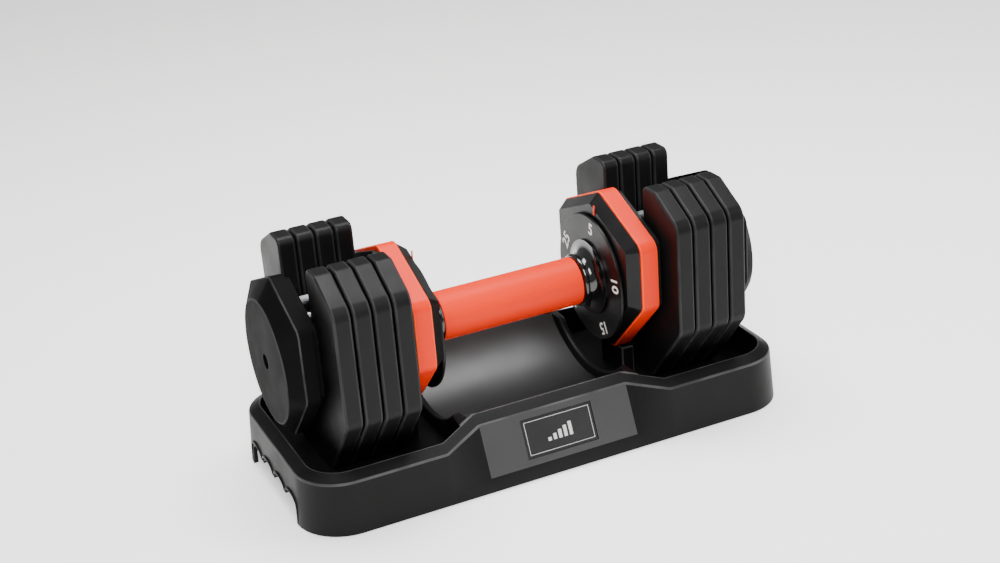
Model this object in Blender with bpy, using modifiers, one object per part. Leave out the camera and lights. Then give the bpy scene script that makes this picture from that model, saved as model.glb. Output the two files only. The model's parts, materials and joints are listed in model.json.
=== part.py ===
"""Adjustable dumbbell in its storage tray.

The grip is twisted to choose how many plates come along.  Every plate stands in the tray in a
slot-side-up U shape.  A stationary cage (housing, band, back cover, tie rods and end cap on each
side) carries the rotor: grip, tube, shaft, dials, index rings and one selector disc per plate.
A selector disc has a flange that passes under its plate's hook only from its own setting upward.

Metres, +Z up.  The origin is under the middle of the tray, on the surface it stands on.  The
rotor's axis runs along X.  Pieces of the dumbbell have their origin on that axis.
"""
import math

import bmesh
import bpy
from mathutils import Vector

# ---------------------------------------------------------------- driving dimensions (metres)
GAP = 0.0003                    # clearance between pieces that touch or rest
RUNNING_GAP = 0.0005            # clearance beside faces that turn
OVERCUT = 0.0010                # how far a cutter or a joined block runs past its face
SIDES = (("left", -1.0), ("right", 1.0))
SETTING_COUNT = 5
SETTING_STEP = 2.0 * math.pi / SETTING_COUNT
TURN_STEPS = 32                 # facets around a visible turned piece
INNER_STEPS = 20                # facets around a turned piece that sits inside
TROUGH_STEPS = 48
CORNER_STEPS = 5                # facets around a tray corner
BAY_CORNER_STEPS = 4
FOOT_STEPS = 20
GROUND = (0.0, 0.0, 0.0)

GRIP_RADIUS = 0.0170
GRIP_HALF_LENGTH = 0.0525
GRIP_WALL = 0.0027
TUBE_WALL = 0.0025
TUBE_PAST_WALL = 0.0030         # tube end behind the housing's front wall
SHAFT_RADIUS = 0.0060
SHAFT_BORE_DEPTH = 0.0120
BUSH_WALL = 0.0032

NECK_LENGTH = 0.0121
NECK_BEAD_RADIUS = 0.0020
NECK_BEAD_PROUD = 0.0018        # neck radii beyond the grip's
NECK_WAIST_PROUD = 0.0002
NECK_FLARE_PROUD = 0.0100
NECK_FLARE_RIM = 0.0014
DIAL_RADIUS = 0.0455
DIAL_THICKNESS = 0.0026
DIAL_EDGE = 0.0007

CAGE_HALF_WIDTH = 0.0550        # hexagonal housing, across its upright flanks
CAGE_TOP = 0.0605
CAGE_SHOULDER = 0.0380
CAGE_FLANK_END = -0.0080
CAGE_BOTTOM = -0.0520
CAGE_FOOT_HALF = 0.0110
CAGE_CORNER = 0.0060
HOUSING_CHAMFER = 0.0060
HOUSING_CHAMFER_DEPTH = 0.0075
HOUSING_FRONT_WALL = 0.0040
HOUSING_WALL = 0.0030
BAND_PROUD = 0.0015             # band outline beyond the housing outline
BAND_THICKNESS = 0.0070
BAND_WIDTH = 0.0130
COVER_THICKNESS = 0.0034
COVER_INSET = 0.0020
COVER_BORE = 0.0100

PLATES_PER_SIDE = SETTING_COUNT - 1
PLATE_THICKNESS = 0.0120
PLATE_SPACING = 0.0015
PLATE_CLEARANCE = 0.0021        # from the back cover to the innermost plate
PLATE_HALF_WIDTH = 0.0730
PLATE_TOP = 0.0700
PLATE_ARM_CORNER = 0.0440
PLATE_SHOULDER = 0.0540
PLATE_FLANK_END = -0.0250
PLATE_BOTTOM = -0.0750
PLATE_FOOT_HALF = 0.0300
PLATE_CORNER = 0.0110
PLATE_ARM_RADIUS = 0.0055
PLATE_BEVEL = 0.0012
SLOT_CLEARANCE = 0.0040         # around a selector disc in its slot
SLOT_STEPS = 14

SELECTOR_STEPS = 24             # facets around a selector disc
SELECTOR_RADIUS = 0.0230
SELECTOR_FLANGE = 0.0035
SELECTOR_WEB_START = 0.0010     # from the plate's inner face
SELECTOR_WEB = 0.0030
SELECTOR_HUB_RADIUS = 0.0090
HOOK_HALF_WIDTH = 0.0050
HOOK_TIP_HEIGHT = 0.0046
HOOK_TIP_GAP = 0.0010           # between the web's face and the hook's tip
HOOK_DROP = 0.0009              # from the flange's inner wall to the hook's tip
HOOK_ROOT = 0.0020
HOOK_ARM = 0.0022
HOOK_CLEARANCE = 0.0008
HOOK_SETBACK = 0.0005           # from the plate's outer face
SELECTOR_RELIEF = math.radians(19.0)
RELIEF_STEPS = 6                # facets of the relief for each setting it spans

INDEX_RADIUS = 0.0300
INDEX_FLANGE = 0.0040
INDEX_WEB = 0.0020
INDEX_DEPTH = 0.0054
INDEX_NOTCH_DEPTH = 0.0026
INDEX_NOTCH_HALF = 0.0033

PIN_RADIUS = 0.0020
PIN_TRAVEL = 0.0030
PIN_LOW = 0.0018                # pin tip above its lowest place in the bore
PIN_HEAD_GAP = 0.0008           # from the index ring's inner wall
PIN_HEAD_REACH = 0.0032         # head inside the index ring
PIN_HEAD_BACK = 0.0018          # head behind the pin's axis
PIN_BORE_DEPTH = 0.0200
PIN_HEAD_HALF = 0.0028
PIN_HEAD_HEIGHT = 0.0054
PIN_SETBACK = 0.0036            # pin axis in front of the housing's rear edge
SPRING_RADIUS = 0.0028
SPRING_WIRE = 0.00035
SPRING_TURNS = 4
SPRING_POINTS = 8               # for each turn
SHELF_THICKNESS = 0.0024
SHELF_HALF_WIDTH = 0.0040
SHELF_GAP = 0.0008              # around the shaft and the spring

ROD_RADIUS = 0.0030
ROD_SPREAD = 0.0140
ROD_HEIGHT = 0.0300
BOLT_STEPS = 12
BOLT_HEAD_RADIUS = 0.0052
BOLT_HEAD_THICKNESS = 0.0030
BOLT_SETBACK = 0.0040           # bolt end below the cap's rim
ROD_HOLE_SETBACK = 0.0030

CAP_CLEARANCE = 0.0030          # from the outermost plate to the cap
CAP_HALF_WIDTH = 0.0500
CAP_TOP = 0.0580
CAP_SHOULDER = 0.0370
CAP_FLANK_END = -0.0120
CAP_BOTTOM = -0.0520
CAP_BACK_LAYER = 0.0040
CAP_BACK_INSET = 0.0030
CAP_RIM_DEPTH = 0.0092
CAP_DOME_DEPTH = 0.0098
CAP_FACE_RADIUS = 0.0420
CAP_BUSH_RADIUS = 0.0090
CAP_HOLE_RADIUS = 0.0053
CAP_SEAT_DEPTH = 0.0030         # washer seat below the cap's rim
END_SCREW_HEAD = 0.0046
END_SCREW_HEAD_HEIGHT = 0.0036
END_SCREW_SHANK = 0.0027
END_SCREW_LENGTH = 0.0100
SOCKET_RADIUS = 0.0019
SOCKET_DEPTH = 0.0020
WASHER_CLEARANCE = 0.0010
WASHER_THICKNESS = 0.0013

TRAY_END_MARGIN = 0.0066        # beyond the end caps
TRAY_SIDE_MARGIN = 0.0070       # beyond the plates
TRAY_FLOOR = 0.0217             # bay floor above the surface
TRAY_CORNER = 0.0340
TRAY_DRAFT = 0.0025             # lean of the outer wall up to the rim
TRAY_HEIGHT = 0.0370            # outer edge of the sloping rim
RIM_WIDTH = 0.0085
RIM_RISE = 0.0050
BAY_LEAN = 0.0020
BAY_CORNER = 0.0100
TRAY_FLOOR_SKIN = 0.0040
TRAY_WALL = 0.0032
TRAY_GROUND_CLEARANCE = 0.0006
CENTRE_HEIGHT = 0.0495          # inner edge of the rim beside the trough
PANEL_TOP_Z = 0.0440
PLINTH_HEIGHT = 0.0110
PANEL_END_INSET = 0.0118        # panel end before the trough lip's outer face
PANEL_RAMP = 0.0280             # from the panel's end to the full-width wall
TROUGH_FLOOR = 0.0230
TROUGH_LAND = 0.0008            # flat beside the trough's edge
LIP_RISE = 0.0060
LIP_WIDTH = 0.0068
LIP_CLEARANCE = 0.0015
CRADLE_HALF_WIDTH = 0.0160
CRADLE_LENGTH = 0.0095
PEG_CLEARANCE = 0.0002          # peg radius under the lock pin's
PEG_RISE = 0.0045               # peg tip above the band's underside
GRAB_HALF_WIDTH = 0.0460
GRAB_HEIGHT = 0.0120
GRAB_SCALLOPS = 4
GRAB_RIB = 0.0020               # between two scallops
FOOT_RADIUS = 0.0080
FOOT_THICKNESS = 0.0022
FOOT_INSET = 0.0260
BOSS_PROUD = 0.0010
LABEL_HALF_LENGTH = 0.0260
LABEL_HALF_HEIGHT = 0.0130
LABEL_THICKNESS = 0.0010

POINTER_ANGLE = math.radians(8.0)   # from straight up towards the front
POINTER_CLEARANCE = 0.0030      # from the dial's edge
POINTER_HALF_WIDTH = 0.0008
POINTER_LENGTH = 0.0070
POINTER_THICKNESS = 0.0006

# ---------------------------------------------------------------- sizes and places that follow
AXIS_HEIGHT = TRAY_FLOOR + GAP - PLATE_BOTTOM
SLOT_HALF_WIDTH = SELECTOR_RADIUS + SLOT_CLEARANCE
PLATE_PITCH = PLATE_THICKNESS + PLATE_SPACING
SELECTOR_FLANGE_DEPTH = (PLATE_THICKNESS - SELECTOR_WEB_START - SELECTOR_WEB
                         - HOOK_CLEARANCE - HOOK_ARM - HOOK_SETBACK)
NECK_START = GRIP_HALF_LENGTH + GAP
DIAL_START = NECK_START + NECK_LENGTH + GAP
DIAL_END = DIAL_START + DIAL_THICKNESS
HOUSING_START = DIAL_END + RUNNING_GAP
RIM_START = HOUSING_START + HOUSING_CHAMFER_DEPTH
HOUSING_END = RIM_START + GAP + BAND_WIDTH
COVER_START = HOUSING_END + GAP
COVER_END = COVER_START + COVER_THICKNESS
WALL_END = HOUSING_START + HOUSING_FRONT_WALL
TUBE_HALF_LENGTH = WALL_END + TUBE_PAST_WALL
INDEX_START = TUBE_HALF_LENGTH + GAP
INDEX_END = INDEX_START + INDEX_WEB + INDEX_DEPTH
PIN_X = HOUSING_END - PIN_SETBACK
PLATE_START = COVER_END + PLATE_CLEARANCE
STACK_END = PLATE_START + (PLATES_PER_SIDE - 1) * PLATE_PITCH + PLATE_THICKNESS
CAP_START = STACK_END + CAP_CLEARANCE
CAP_FRONT_START = CAP_START + CAP_BACK_LAYER
CAP_RIM_END = CAP_FRONT_START + CAP_RIM_DEPTH
CAP_END = CAP_RIM_END + CAP_DOME_DEPTH
CAP_SEAT = CAP_RIM_END - CAP_SEAT_DEPTH
SHAFT_HALF_LENGTH = CAP_SEAT - WASHER_THICKNESS - GAP

TUBE_RADIUS = GRIP_RADIUS - GRIP_WALL - GAP
BUSH_INNER = TUBE_RADIUS + GAP
BUSH_OUTER = BUSH_INNER + BUSH_WALL
PIN_HOLE = PIN_RADIUS + GAP
SHELF_TOP = -(SHAFT_RADIUS + SHELF_GAP)
BAND_BOTTOM = CAGE_BOTTOM - BAND_PROUD
TRAY_HALF_LENGTH = CAP_END + TRAY_END_MARGIN
TRAY_HALF_WIDTH = PLATE_HALF_WIDTH + TRAY_SIDE_MARGIN
TROUGH_RADIUS = AXIS_HEIGHT - TROUGH_FLOOR
LIP_RADIUS = TROUGH_RADIUS - LIP_RISE
LIP_OUTER = HOUSING_START - LIP_CLEARANCE
LIP_INNER = LIP_OUTER - LIP_WIDTH
PANEL_HALF_LENGTH = LIP_OUTER - PANEL_END_INSET
RAMP_END = PANEL_HALF_LENGTH + PANEL_RAMP
RIM_INNER_INSET = TRAY_DRAFT + RIM_WIDTH
CENTRE_INNER_Y = math.sqrt(TROUGH_RADIUS ** 2 - (AXIS_HEIGHT - CENTRE_HEIGHT) ** 2) + TROUGH_LAND
PANEL_TOP_Y = CENTRE_INNER_Y + RIM_WIDTH
PANEL_BOTTOM_Y = TRAY_HALF_WIDTH - TRAY_DRAFT * PLINTH_HEIGHT / TRAY_HEIGHT
PANEL_SLOPE = (PANEL_BOTTOM_Y - PANEL_TOP_Y) / (PANEL_TOP_Z - PLINTH_HEIGHT)
UNDERSIDE_ROOF = TRAY_FLOOR - TRAY_FLOOR_SKIN

collection = bpy.data.collections.new("adjustable_dumbbell")
cutters = bpy.data.collections.new("cutters")


# ---------------------------------------------------------------- shared tools
def finish(name, colour, roughness, metallic=0.0):
    """A Principled BSDF material."""
    material = bpy.data.materials.new(name)
    material.use_nodes = True
    shader = material.node_tree.nodes["Principled BSDF"]
    shader.inputs["Base Color"].default_value = (*colour, 1.0)
    shader.inputs["Roughness"].default_value = roughness
    shader.inputs["Metallic"].default_value = metallic
    material.diffuse_color = (*colour, 1.0)
    return material


def place(name, mesh, material, location=(0.0, 0.0, AXIS_HEIGHT)):
    """Put a mesh in the model's collection as a named sub-part."""
    piece = bpy.data.objects.new(name, mesh)
    piece.location = location
    collection.objects.link(piece)
    mesh.materials.append(material)
    return piece


def place_cutter(name, mesh, location=(0.0, 0.0, AXIS_HEIGHT)):
    """Put a mesh among the cutters."""
    cutter = bpy.data.objects.new(name, mesh)
    cutter.location = location
    cutter.hide_render = True
    cutter.display_type = "WIRE"
    cutters.objects.link(cutter)
    return cutter


def combine(piece, other, operation):
    """Cut a piece with another object, or join that object to it."""
    boolean = piece.modifiers.new(other.name, "BOOLEAN")
    boolean.object = other
    boolean.operation = operation


def bmesh_to_mesh(name, bm, smooth=False):
    """Finish a bmesh: faces out, one mesh."""
    bmesh.ops.remove_doubles(bm, verts=bm.verts, dist=1e-7)
    bmesh.ops.recalc_face_normals(bm, faces=bm.faces)
    mesh = bpy.data.meshes.new(name)
    bm.to_mesh(mesh)
    bm.free()
    if smooth:
        mesh.shade_smooth()
        mesh.set_sharp_from_angle(angle=math.radians(30.0))
    return mesh


def turned(name, profile, material, side=1.0, across=(0.0, 0.0), steps=INNER_STEPS):
    """Turn a closed (x, radius) profile about an axis along X, across from the rotor's axis."""
    points = [(side * x, radius) for x, radius in profile]
    pairs = list(zip(points, points[1:] + points[:1]))
    area = sum(a[0] * b[1] - b[0] * a[1] for a, b in pairs)
    if area < 0.0:
        points.reverse()
    mesh = bpy.data.meshes.new(name)
    count = len(points)
    on_axis = points[0][1] == 0.0 and points[-1][1] == 0.0
    edge_count = count - 1 if on_axis else count
    edges = [(i, (i + 1) % count) for i in range(edge_count)]
    mesh.from_pydata([(x, radius, 0.0) for x, radius in points], edges, [])
    piece = place(name, mesh, material, (0.0, across[0], AXIS_HEIGHT + across[1]))
    screw = piece.modifiers.new("turn", "SCREW")
    screw.axis = "X"
    screw.steps = steps
    screw.render_steps = steps
    screw.use_merge_vertices = True
    screw.merge_threshold = 1e-6
    return piece


def ring_profile(start, end, inner, outer):
    """Profile of a plain ring between two places on the axis."""
    return [(start, inner), (end, inner), (end, outer), (start, outer)]


def arc(centre, radius, start, end, steps):
    """Points on an arc, angles in radians."""
    angles = [start + (end - start) * i / steps for i in range(steps + 1)]
    return [(centre[0] + radius * math.cos(a), centre[1] + radius * math.sin(a)) for a in angles]


def rounded(corners, steps=3, pieces=1):
    """Outline through (y, z, corner radius) corners, arcs at each, each run in equal pieces."""
    outline = []
    count = len(corners)
    for i, (y, z, radius) in enumerate(corners):
        here = Vector((y, z))
        before = (Vector(corners[i - 1][:2]) - here).normalized()
        after = (Vector(corners[(i + 1) % count][:2]) - here).normalized()
        half = math.acos(max(-1.0, min(1.0, before.dot(after)))) / 2.0
        if radius <= 0.0:
            outline.append(here)
            continue
        centre = here + (before + after).normalized() * (radius / math.sin(half))
        first = here + before * (radius / math.tan(half)) - centre
        last = here + after * (radius / math.tan(half)) - centre
        sweep = first.angle_signed(last)
        for k in range(steps + 1):
            angle = -sweep * k / steps
            turn = Vector((first.x * math.cos(angle) - first.y * math.sin(angle),
                           first.x * math.sin(angle) + first.y * math.cos(angle)))
            outline.append(centre + turn)
    divided = []
    for i, (a, b) in enumerate(zip(outline, outline[1:] + outline[:1])):
        parts = pieces if (i + 1) % (steps + 1) == 0 else 1
        divided += [tuple(a.lerp(b, k / parts)) for k in range(parts)]
    return divided


def slab(name, outline, start, end, axis="X", bevel=0.0):
    """Extrude an outline along an axis and soften the rims of its two faces."""
    lift = {"X": lambda p, d: (d, p[0], p[1]),
            "Y": lambda p, d: (p[0], d, p[1]),
            "Z": lambda p, d: (p[0], p[1], d)}[axis]
    bm = bmesh.new()
    face = bm.faces.new([bm.verts.new(lift(p, start)) for p in outline])
    grown = bmesh.ops.extrude_face_region(bm, geom=[face])
    moved = [v for v in grown["geom"] if isinstance(v, bmesh.types.BMVert)]
    shift = Vector(lift((0.0, 0.0), end)) - Vector(lift((0.0, 0.0), start))
    bmesh.ops.translate(bm, verts=moved, vec=shift)
    bmesh.ops.recalc_face_normals(bm, faces=bm.faces)
    if bevel > 0.0:
        rims = [e for f in bm.faces if len(f.verts) == len(outline) for e in f.edges]
        bmesh.ops.bevel(bm, geom=rims, offset=bevel, offset_type="OFFSET", segments=1,
                        profile=0.5, affect="EDGES", clamp_overlap=True)
    return bmesh_to_mesh(name, bm)


def join_rings(bm, rings):
    """Loft from each ring of points to the next, and from the last back to the first."""
    loops = [[bm.verts.new(point) for point in ring] for ring in rings]
    for first, second in zip(loops, loops[1:] + loops[:1]):
        for k, vert in enumerate(first):
            bm.faces.new((first[k - 1], vert, second[k], second[k - 1]))


def skinned(name, rings, side=1.0):
    """Hollow body through (x, outline) rings of equal count, as a closed loft."""
    bm = bmesh.new()
    join_rings(bm, [[(side * x, y, z) for y, z in outline] for x, outline in rings])
    return bmesh_to_mesh(name, bm)


def round_ring(outline, radius):
    """Circle with one point for each outline point, at the same angle."""
    return [(y * radius / math.hypot(y, z), z * radius / math.hypot(y, z)) for y, z in outline]


def cylinder(bm, radius, start, end, centre=(0.0, 0.0), axis="X", segments=16):
    """Add a closed cylinder along an axis to a bmesh; centre is across that axis."""
    made = bmesh.ops.create_cone(bm, cap_ends=True, segments=segments, radius1=radius,
                                 radius2=radius, depth=end - start)
    middle = (start + end) / 2.0
    for vert in made["verts"]:
        x, y, z = vert.co
        if axis == "X":
            vert.co = (z + middle, x + centre[0], y + centre[1])
        elif axis == "Y":
            vert.co = (x + centre[0], z + middle, y + centre[1])
        else:
            vert.co = (x + centre[0], y + centre[1], z + middle)


def box(bm, low, high):
    """Add a closed box to a bmesh; returns its vertices."""
    made = bmesh.ops.create_cube(bm, size=1.0)["verts"]
    for vert in made:
        vert.co = [low[i] + (vert.co[i] + 0.5) * (high[i] - low[i]) for i in range(3)]
    return made


def hexagon(offset, half_width, top, shoulder, flank_end, bottom):
    """Upright hexagon with a narrow foot and round corners, moved out or in by offset."""
    half = [(CAGE_FOOT_HALF * (1.0 + offset / half_width), bottom - offset, CAGE_CORNER / 2.0),
            (half_width + offset, flank_end, CAGE_CORNER),
            (half_width + offset, shoulder, CAGE_CORNER)]
    other_half = [(-y, z, radius) for y, z, radius in reversed(half)]
    return rounded(half + [(0.0, top + offset, CAGE_CORNER)] + other_half, pieces=4)


def cage_outline(offset):
    """Housing outline, moved out or in by offset."""
    return hexagon(offset, CAGE_HALF_WIDTH, CAGE_TOP, CAGE_SHOULDER, CAGE_FLANK_END, CAGE_BOTTOM)


def cap_outline(offset):
    """End cap outline, moved out or in by offset."""
    return hexagon(offset, CAP_HALF_WIDTH, CAP_TOP, CAP_SHOULDER, CAP_FLANK_END, CAP_BOTTOM)


# ---------------------------------------------------------------- the rotor
def grip_and_shaft(rubber, steel):
    """Grip sleeve over its steel tube, with the through shaft inside."""
    turned("grip_sleeve", ring_profile(-GRIP_HALF_LENGTH, GRIP_HALF_LENGTH,
                                       GRIP_RADIUS - GRIP_WALL, GRIP_RADIUS), rubber,
           steps=TURN_STEPS)
    turned("handle_tube", ring_profile(-TUBE_HALF_LENGTH, TUBE_HALF_LENGTH,
                                       TUBE_RADIUS - TUBE_WALL, TUBE_RADIUS), steel)
    bore = END_SCREW_SHANK + GAP
    depth = SHAFT_HALF_LENGTH - SHAFT_BORE_DEPTH
    turned("through_shaft",
           [(-depth, 0.0), (-depth, bore), (-SHAFT_HALF_LENGTH, bore),
            (-SHAFT_HALF_LENGTH, SHAFT_RADIUS), (SHAFT_HALF_LENGTH, SHAFT_RADIUS),
            (SHAFT_HALF_LENGTH, bore), (depth, bore), (depth, 0.0)], steel)


def neck(name, side, gloss):
    """Collar between grip and dial: bead, waist and a concave flare."""
    bead_out = GRIP_RADIUS + NECK_BEAD_PROUD
    waist = GRIP_RADIUS + NECK_WAIST_PROUD
    flare_out = GRIP_RADIUS + NECK_FLARE_PROUD
    end = NECK_START + NECK_LENGTH
    bead = arc((NECK_START + NECK_BEAD_RADIUS, bead_out - NECK_BEAD_RADIUS), NECK_BEAD_RADIUS,
               math.pi, 0.0, 5)
    flare_start = NECK_START + 2.0 * NECK_BEAD_RADIUS
    flare_run = end - NECK_FLARE_RIM - flare_start
    flare = [(flare_start + x * flare_run, flare_out + y * (flare_out - waist))
             for x, y in arc((0.0, 0.0), 1.0, -math.pi / 2.0, 0.0, 5)]
    inner = TUBE_RADIUS + GAP
    turned(name, [(NECK_START, inner)] + bead + flare
           + [(end, flare_out), (end, inner)], gloss, side, steps=TURN_STEPS)


def dial(name, side, plastic):
    """Numbered disc that turns with the grip, with a softened outer edge."""
    turned(name, [(DIAL_START, BUSH_INNER), (DIAL_START, DIAL_RADIUS - DIAL_EDGE),
                  (DIAL_START + DIAL_EDGE, DIAL_RADIUS), (DIAL_END, DIAL_RADIUS),
                  (DIAL_END, BUSH_INNER)], plastic, side, steps=TURN_STEPS)


def index_ring(name, side, steel):
    """Cup behind the dial with one inner notch for each setting."""
    web_end = INDEX_START + INDEX_WEB
    inner = INDEX_RADIUS - INDEX_FLANGE
    ring = turned(name, [(INDEX_START, SHAFT_RADIUS + GAP), (INDEX_START, INDEX_RADIUS),
                         (INDEX_END, INDEX_RADIUS), (INDEX_END, inner), (web_end, inner),
                         (web_end, SHAFT_RADIUS + GAP)], steel, side)
    bm = bmesh.new()
    for setting in range(SETTING_COUNT):
        direction = -math.pi / 2.0 + setting * SETTING_STEP
        radial = Vector((0.0, math.cos(direction), math.sin(direction)))
        across = Vector((0.0, -radial.z, radial.y))
        reach = (inner - OVERCUT, inner + INDEX_NOTCH_DEPTH)
        for vert in box(bm, (0.0, 0.0, 0.0), (1.0, 1.0, 1.0)):
            x = web_end - GAP + vert.co.x * (INDEX_DEPTH + GAP + OVERCUT)
            out = reach[0] + vert.co.z * (reach[1] - reach[0])
            wide = (2.0 * vert.co.y - 1.0) * INDEX_NOTCH_HALF
            vert.co = Vector((side * x, 0.0, 0.0)) + radial * out + across * wide
    combine(ring, place_cutter(name + "_notches", bmesh_to_mesh(name + "_notches", bm)),
            "DIFFERENCE")


def selector_disc(name, side, plate, plastic):
    """Disc whose flange carries its plate's hook from setting number plate upward."""
    inner_face = PLATE_START + (plate - 1) * PLATE_PITCH
    web = inner_face + SELECTOR_WEB_START
    web_end = web + SELECTOR_WEB
    flange_end = web_end + SELECTOR_FLANGE_DEPTH
    hub_start = inner_face - (PLATE_PITCH - PLATE_THICKNESS - GAP) / 2.0
    hub_end = hub_start + PLATE_PITCH - GAP
    flange_inner = SELECTOR_RADIUS - SELECTOR_FLANGE
    bore = SHAFT_RADIUS + GAP
    disc = turned(name, [(hub_start, bore), (hub_start, SELECTOR_HUB_RADIUS),
                         (web, SELECTOR_HUB_RADIUS), (web, SELECTOR_RADIUS),
                         (flange_end, SELECTOR_RADIUS), (flange_end, flange_inner),
                         (web_end, flange_inner), (web_end, SELECTOR_HUB_RADIUS),
                         (hub_end, SELECTOR_HUB_RADIUS), (hub_end, bore)], plastic, side,
                  steps=SELECTOR_STEPS)
    first = -math.pi / 2.0 - SELECTOR_RELIEF
    last = -math.pi / 2.0 + (plate - 1) * SETTING_STEP + SELECTOR_RELIEF
    steps = RELIEF_STEPS * plate
    sector = (arc((0.0, 0.0), SELECTOR_RADIUS + 2.0 * OVERCUT, first, last, steps)
              + arc((0.0, 0.0), flange_inner - OVERCUT, last, first, steps))
    reach = sorted((side * (web_end - GAP), side * (flange_end + OVERCUT)))
    combine(disc, place_cutter(name + "_relief", slab(name + "_relief", sector, *reach)),
            "DIFFERENCE")


def end_fasteners(name, side, steel):
    """Screw and washer that hold the shaft's end in the cap, two separate solids."""
    head_start = CAP_SEAT + GAP
    head_end = head_start + END_SCREW_HEAD_HEIGHT
    socket_floor = head_end - SOCKET_DEPTH
    tip = SHAFT_HALF_LENGTH - END_SCREW_LENGTH
    turned("end_screw_" + name,
           [(tip, 0.0), (tip, END_SCREW_SHANK), (head_start, END_SCREW_SHANK),
            (head_start, END_SCREW_HEAD), (head_end, END_SCREW_HEAD), (head_end, SOCKET_RADIUS),
            (socket_floor, SOCKET_RADIUS), (socket_floor, 0.0)], steel, side)
    turned("end_washer_" + name,
           ring_profile(SHAFT_HALF_LENGTH + GAP, CAP_SEAT, END_SCREW_SHANK + GAP,
                        CAP_BUSH_RADIUS - WASHER_CLEARANCE), steel, side)


# ---------------------------------------------------------------- the cage
def pin_bore_cutter(name, side):
    """Upright bore for the lock pin through band and housing."""
    bm = bmesh.new()
    cylinder(bm, PIN_HOLE, BAND_BOTTOM - OVERCUT, CAGE_BOTTOM + PIN_BORE_DEPTH,
             (side * PIN_X, 0.0), "Z", 12)
    return place_cutter(name, bmesh_to_mesh(name, bm))


def housing(name, side, plastic, pin_bore):
    """Hexagonal cup with a chamfered front rim and a skirt inside the band."""
    outer = cage_outline(0.0)
    skirt = cage_outline(-(BAND_THICKNESS - BAND_PROUD) - GAP)
    inside = cage_outline(-(BAND_THICKNESS - BAND_PROUD) - GAP - HOUSING_WALL)
    bore = round_ring(outer, BUSH_OUTER + GAP)
    rings = [(HOUSING_START, bore), (HOUSING_START, cage_outline(-HOUSING_CHAMFER)),
             (RIM_START, outer), (RIM_START, skirt), (HOUSING_END, skirt),
             (HOUSING_END, inside), (WALL_END, inside), (WALL_END, bore)]
    piece = place(name, skinned(name, rings, side), plastic)
    combine(piece, pin_bore, "DIFFERENCE")


def band(name, side, plastic, pin_bore):
    """Coloured hexagonal band slipped over the housing's skirt."""
    outer = cage_outline(BAND_PROUD)
    inner = cage_outline(BAND_PROUD - BAND_THICKNESS)
    rings = [(RIM_START + GAP, outer), (HOUSING_END, outer), (HOUSING_END, inner),
             (RIM_START + GAP, inner)]
    piece = place(name, skinned(name, rings, side), plastic)
    combine(piece, pin_bore, "DIFFERENCE")


def rod_holes(name, side):
    """Two bores for the tie rods."""
    bm = bmesh.new()
    reach = sorted((side * (COVER_START - OVERCUT), side * (CAP_RIM_END - ROD_HOLE_SETBACK)))
    for spread in (-ROD_SPREAD, ROD_SPREAD):
        cylinder(bm, ROD_RADIUS + GAP, *reach, (spread, ROD_HEIGHT))
    return place_cutter(name, bmesh_to_mesh(name, bm))


def back_cover(name, side, plastic, holes):
    """Plate that closes the housing, with a shelf inside for the lock spring."""
    outline = cage_outline(-COVER_INSET)
    bore = round_ring(outline, COVER_BORE)
    rings = [(COVER_START, bore), (COVER_START, outline), (COVER_END, outline),
             (COVER_END, bore)]
    piece = place(name, skinned(name, rings, side), plastic)
    combine(piece, holes, "DIFFERENCE")
    bm = bmesh.new()
    reach = sorted((side * (PIN_X - SPRING_RADIUS - SHELF_GAP), side * (COVER_START + OVERCUT)))
    box(bm, (reach[0], -SHELF_HALF_WIDTH, SHELF_TOP - SHELF_THICKNESS),
        (reach[1], SHELF_HALF_WIDTH, SHELF_TOP))
    combine(piece, place_cutter(name + "_shelf", bmesh_to_mesh(name + "_shelf", bm)), "UNION")


def tie_bolts(name, side, steel):
    """Two long bolts from the housing to the end cap, heads behind the cover."""
    head_end = COVER_START - GAP
    head = [(head_end - BOLT_HEAD_THICKNESS, 0.0), (head_end - BOLT_HEAD_THICKNESS, BOLT_HEAD_RADIUS),
            (head_end, BOLT_HEAD_RADIUS), (head_end, ROD_RADIUS)]
    end = CAP_RIM_END - BOLT_SETBACK
    for place_name, spread in (("front", -ROD_SPREAD), ("rear", ROD_SPREAD)):
        turned(f"tie_bolt_{name}_{place_name}", head + [(end, ROD_RADIUS), (end, 0.0)], steel,
               side, (spread, ROD_HEIGHT), BOLT_STEPS)


def end_cap(name, side, plastic, holes):
    """Hexagonal cap: a thin back layer, a rim and a chamfer up to a round face."""
    outer = cap_outline(0.0)
    back = cap_outline(-CAP_BACK_INSET)
    face = round_ring(outer, CAP_FACE_RADIUS)
    bush = round_ring(outer, CAP_BUSH_RADIUS)
    hole = round_ring(outer, CAP_HOLE_RADIUS)
    rings = [(CAP_START, bush), (CAP_START, back), (CAP_FRONT_START, back),
             (CAP_FRONT_START, outer), (CAP_RIM_END, outer), (CAP_END, face),
             (CAP_END, hole), (CAP_SEAT, hole), (CAP_SEAT, bush)]
    piece = place(name, skinned(name, rings, side), plastic)
    combine(piece, holes, "DIFFERENCE")


def pointer(name, side, paint):
    """Coloured tick on the housing's face above the chosen number."""
    radial = Vector((-math.sin(POINTER_ANGLE), math.cos(POINTER_ANGLE)))
    across = Vector((radial.y, -radial.x))
    start = DIAL_RADIUS + POINTER_CLEARANCE
    corners = [radial * (start + run * POINTER_LENGTH) + across * wide * POINTER_HALF_WIDTH
               for run, wide in ((0.0, -1.0), (0.0, 1.0), (1.0, 1.0), (1.0, -1.0))]
    end = HOUSING_START - GAP
    reach = sorted((side * (end - POINTER_THICKNESS), side * end))
    place(name, slab(name, [tuple(c) for c in corners], *reach), paint)


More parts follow.
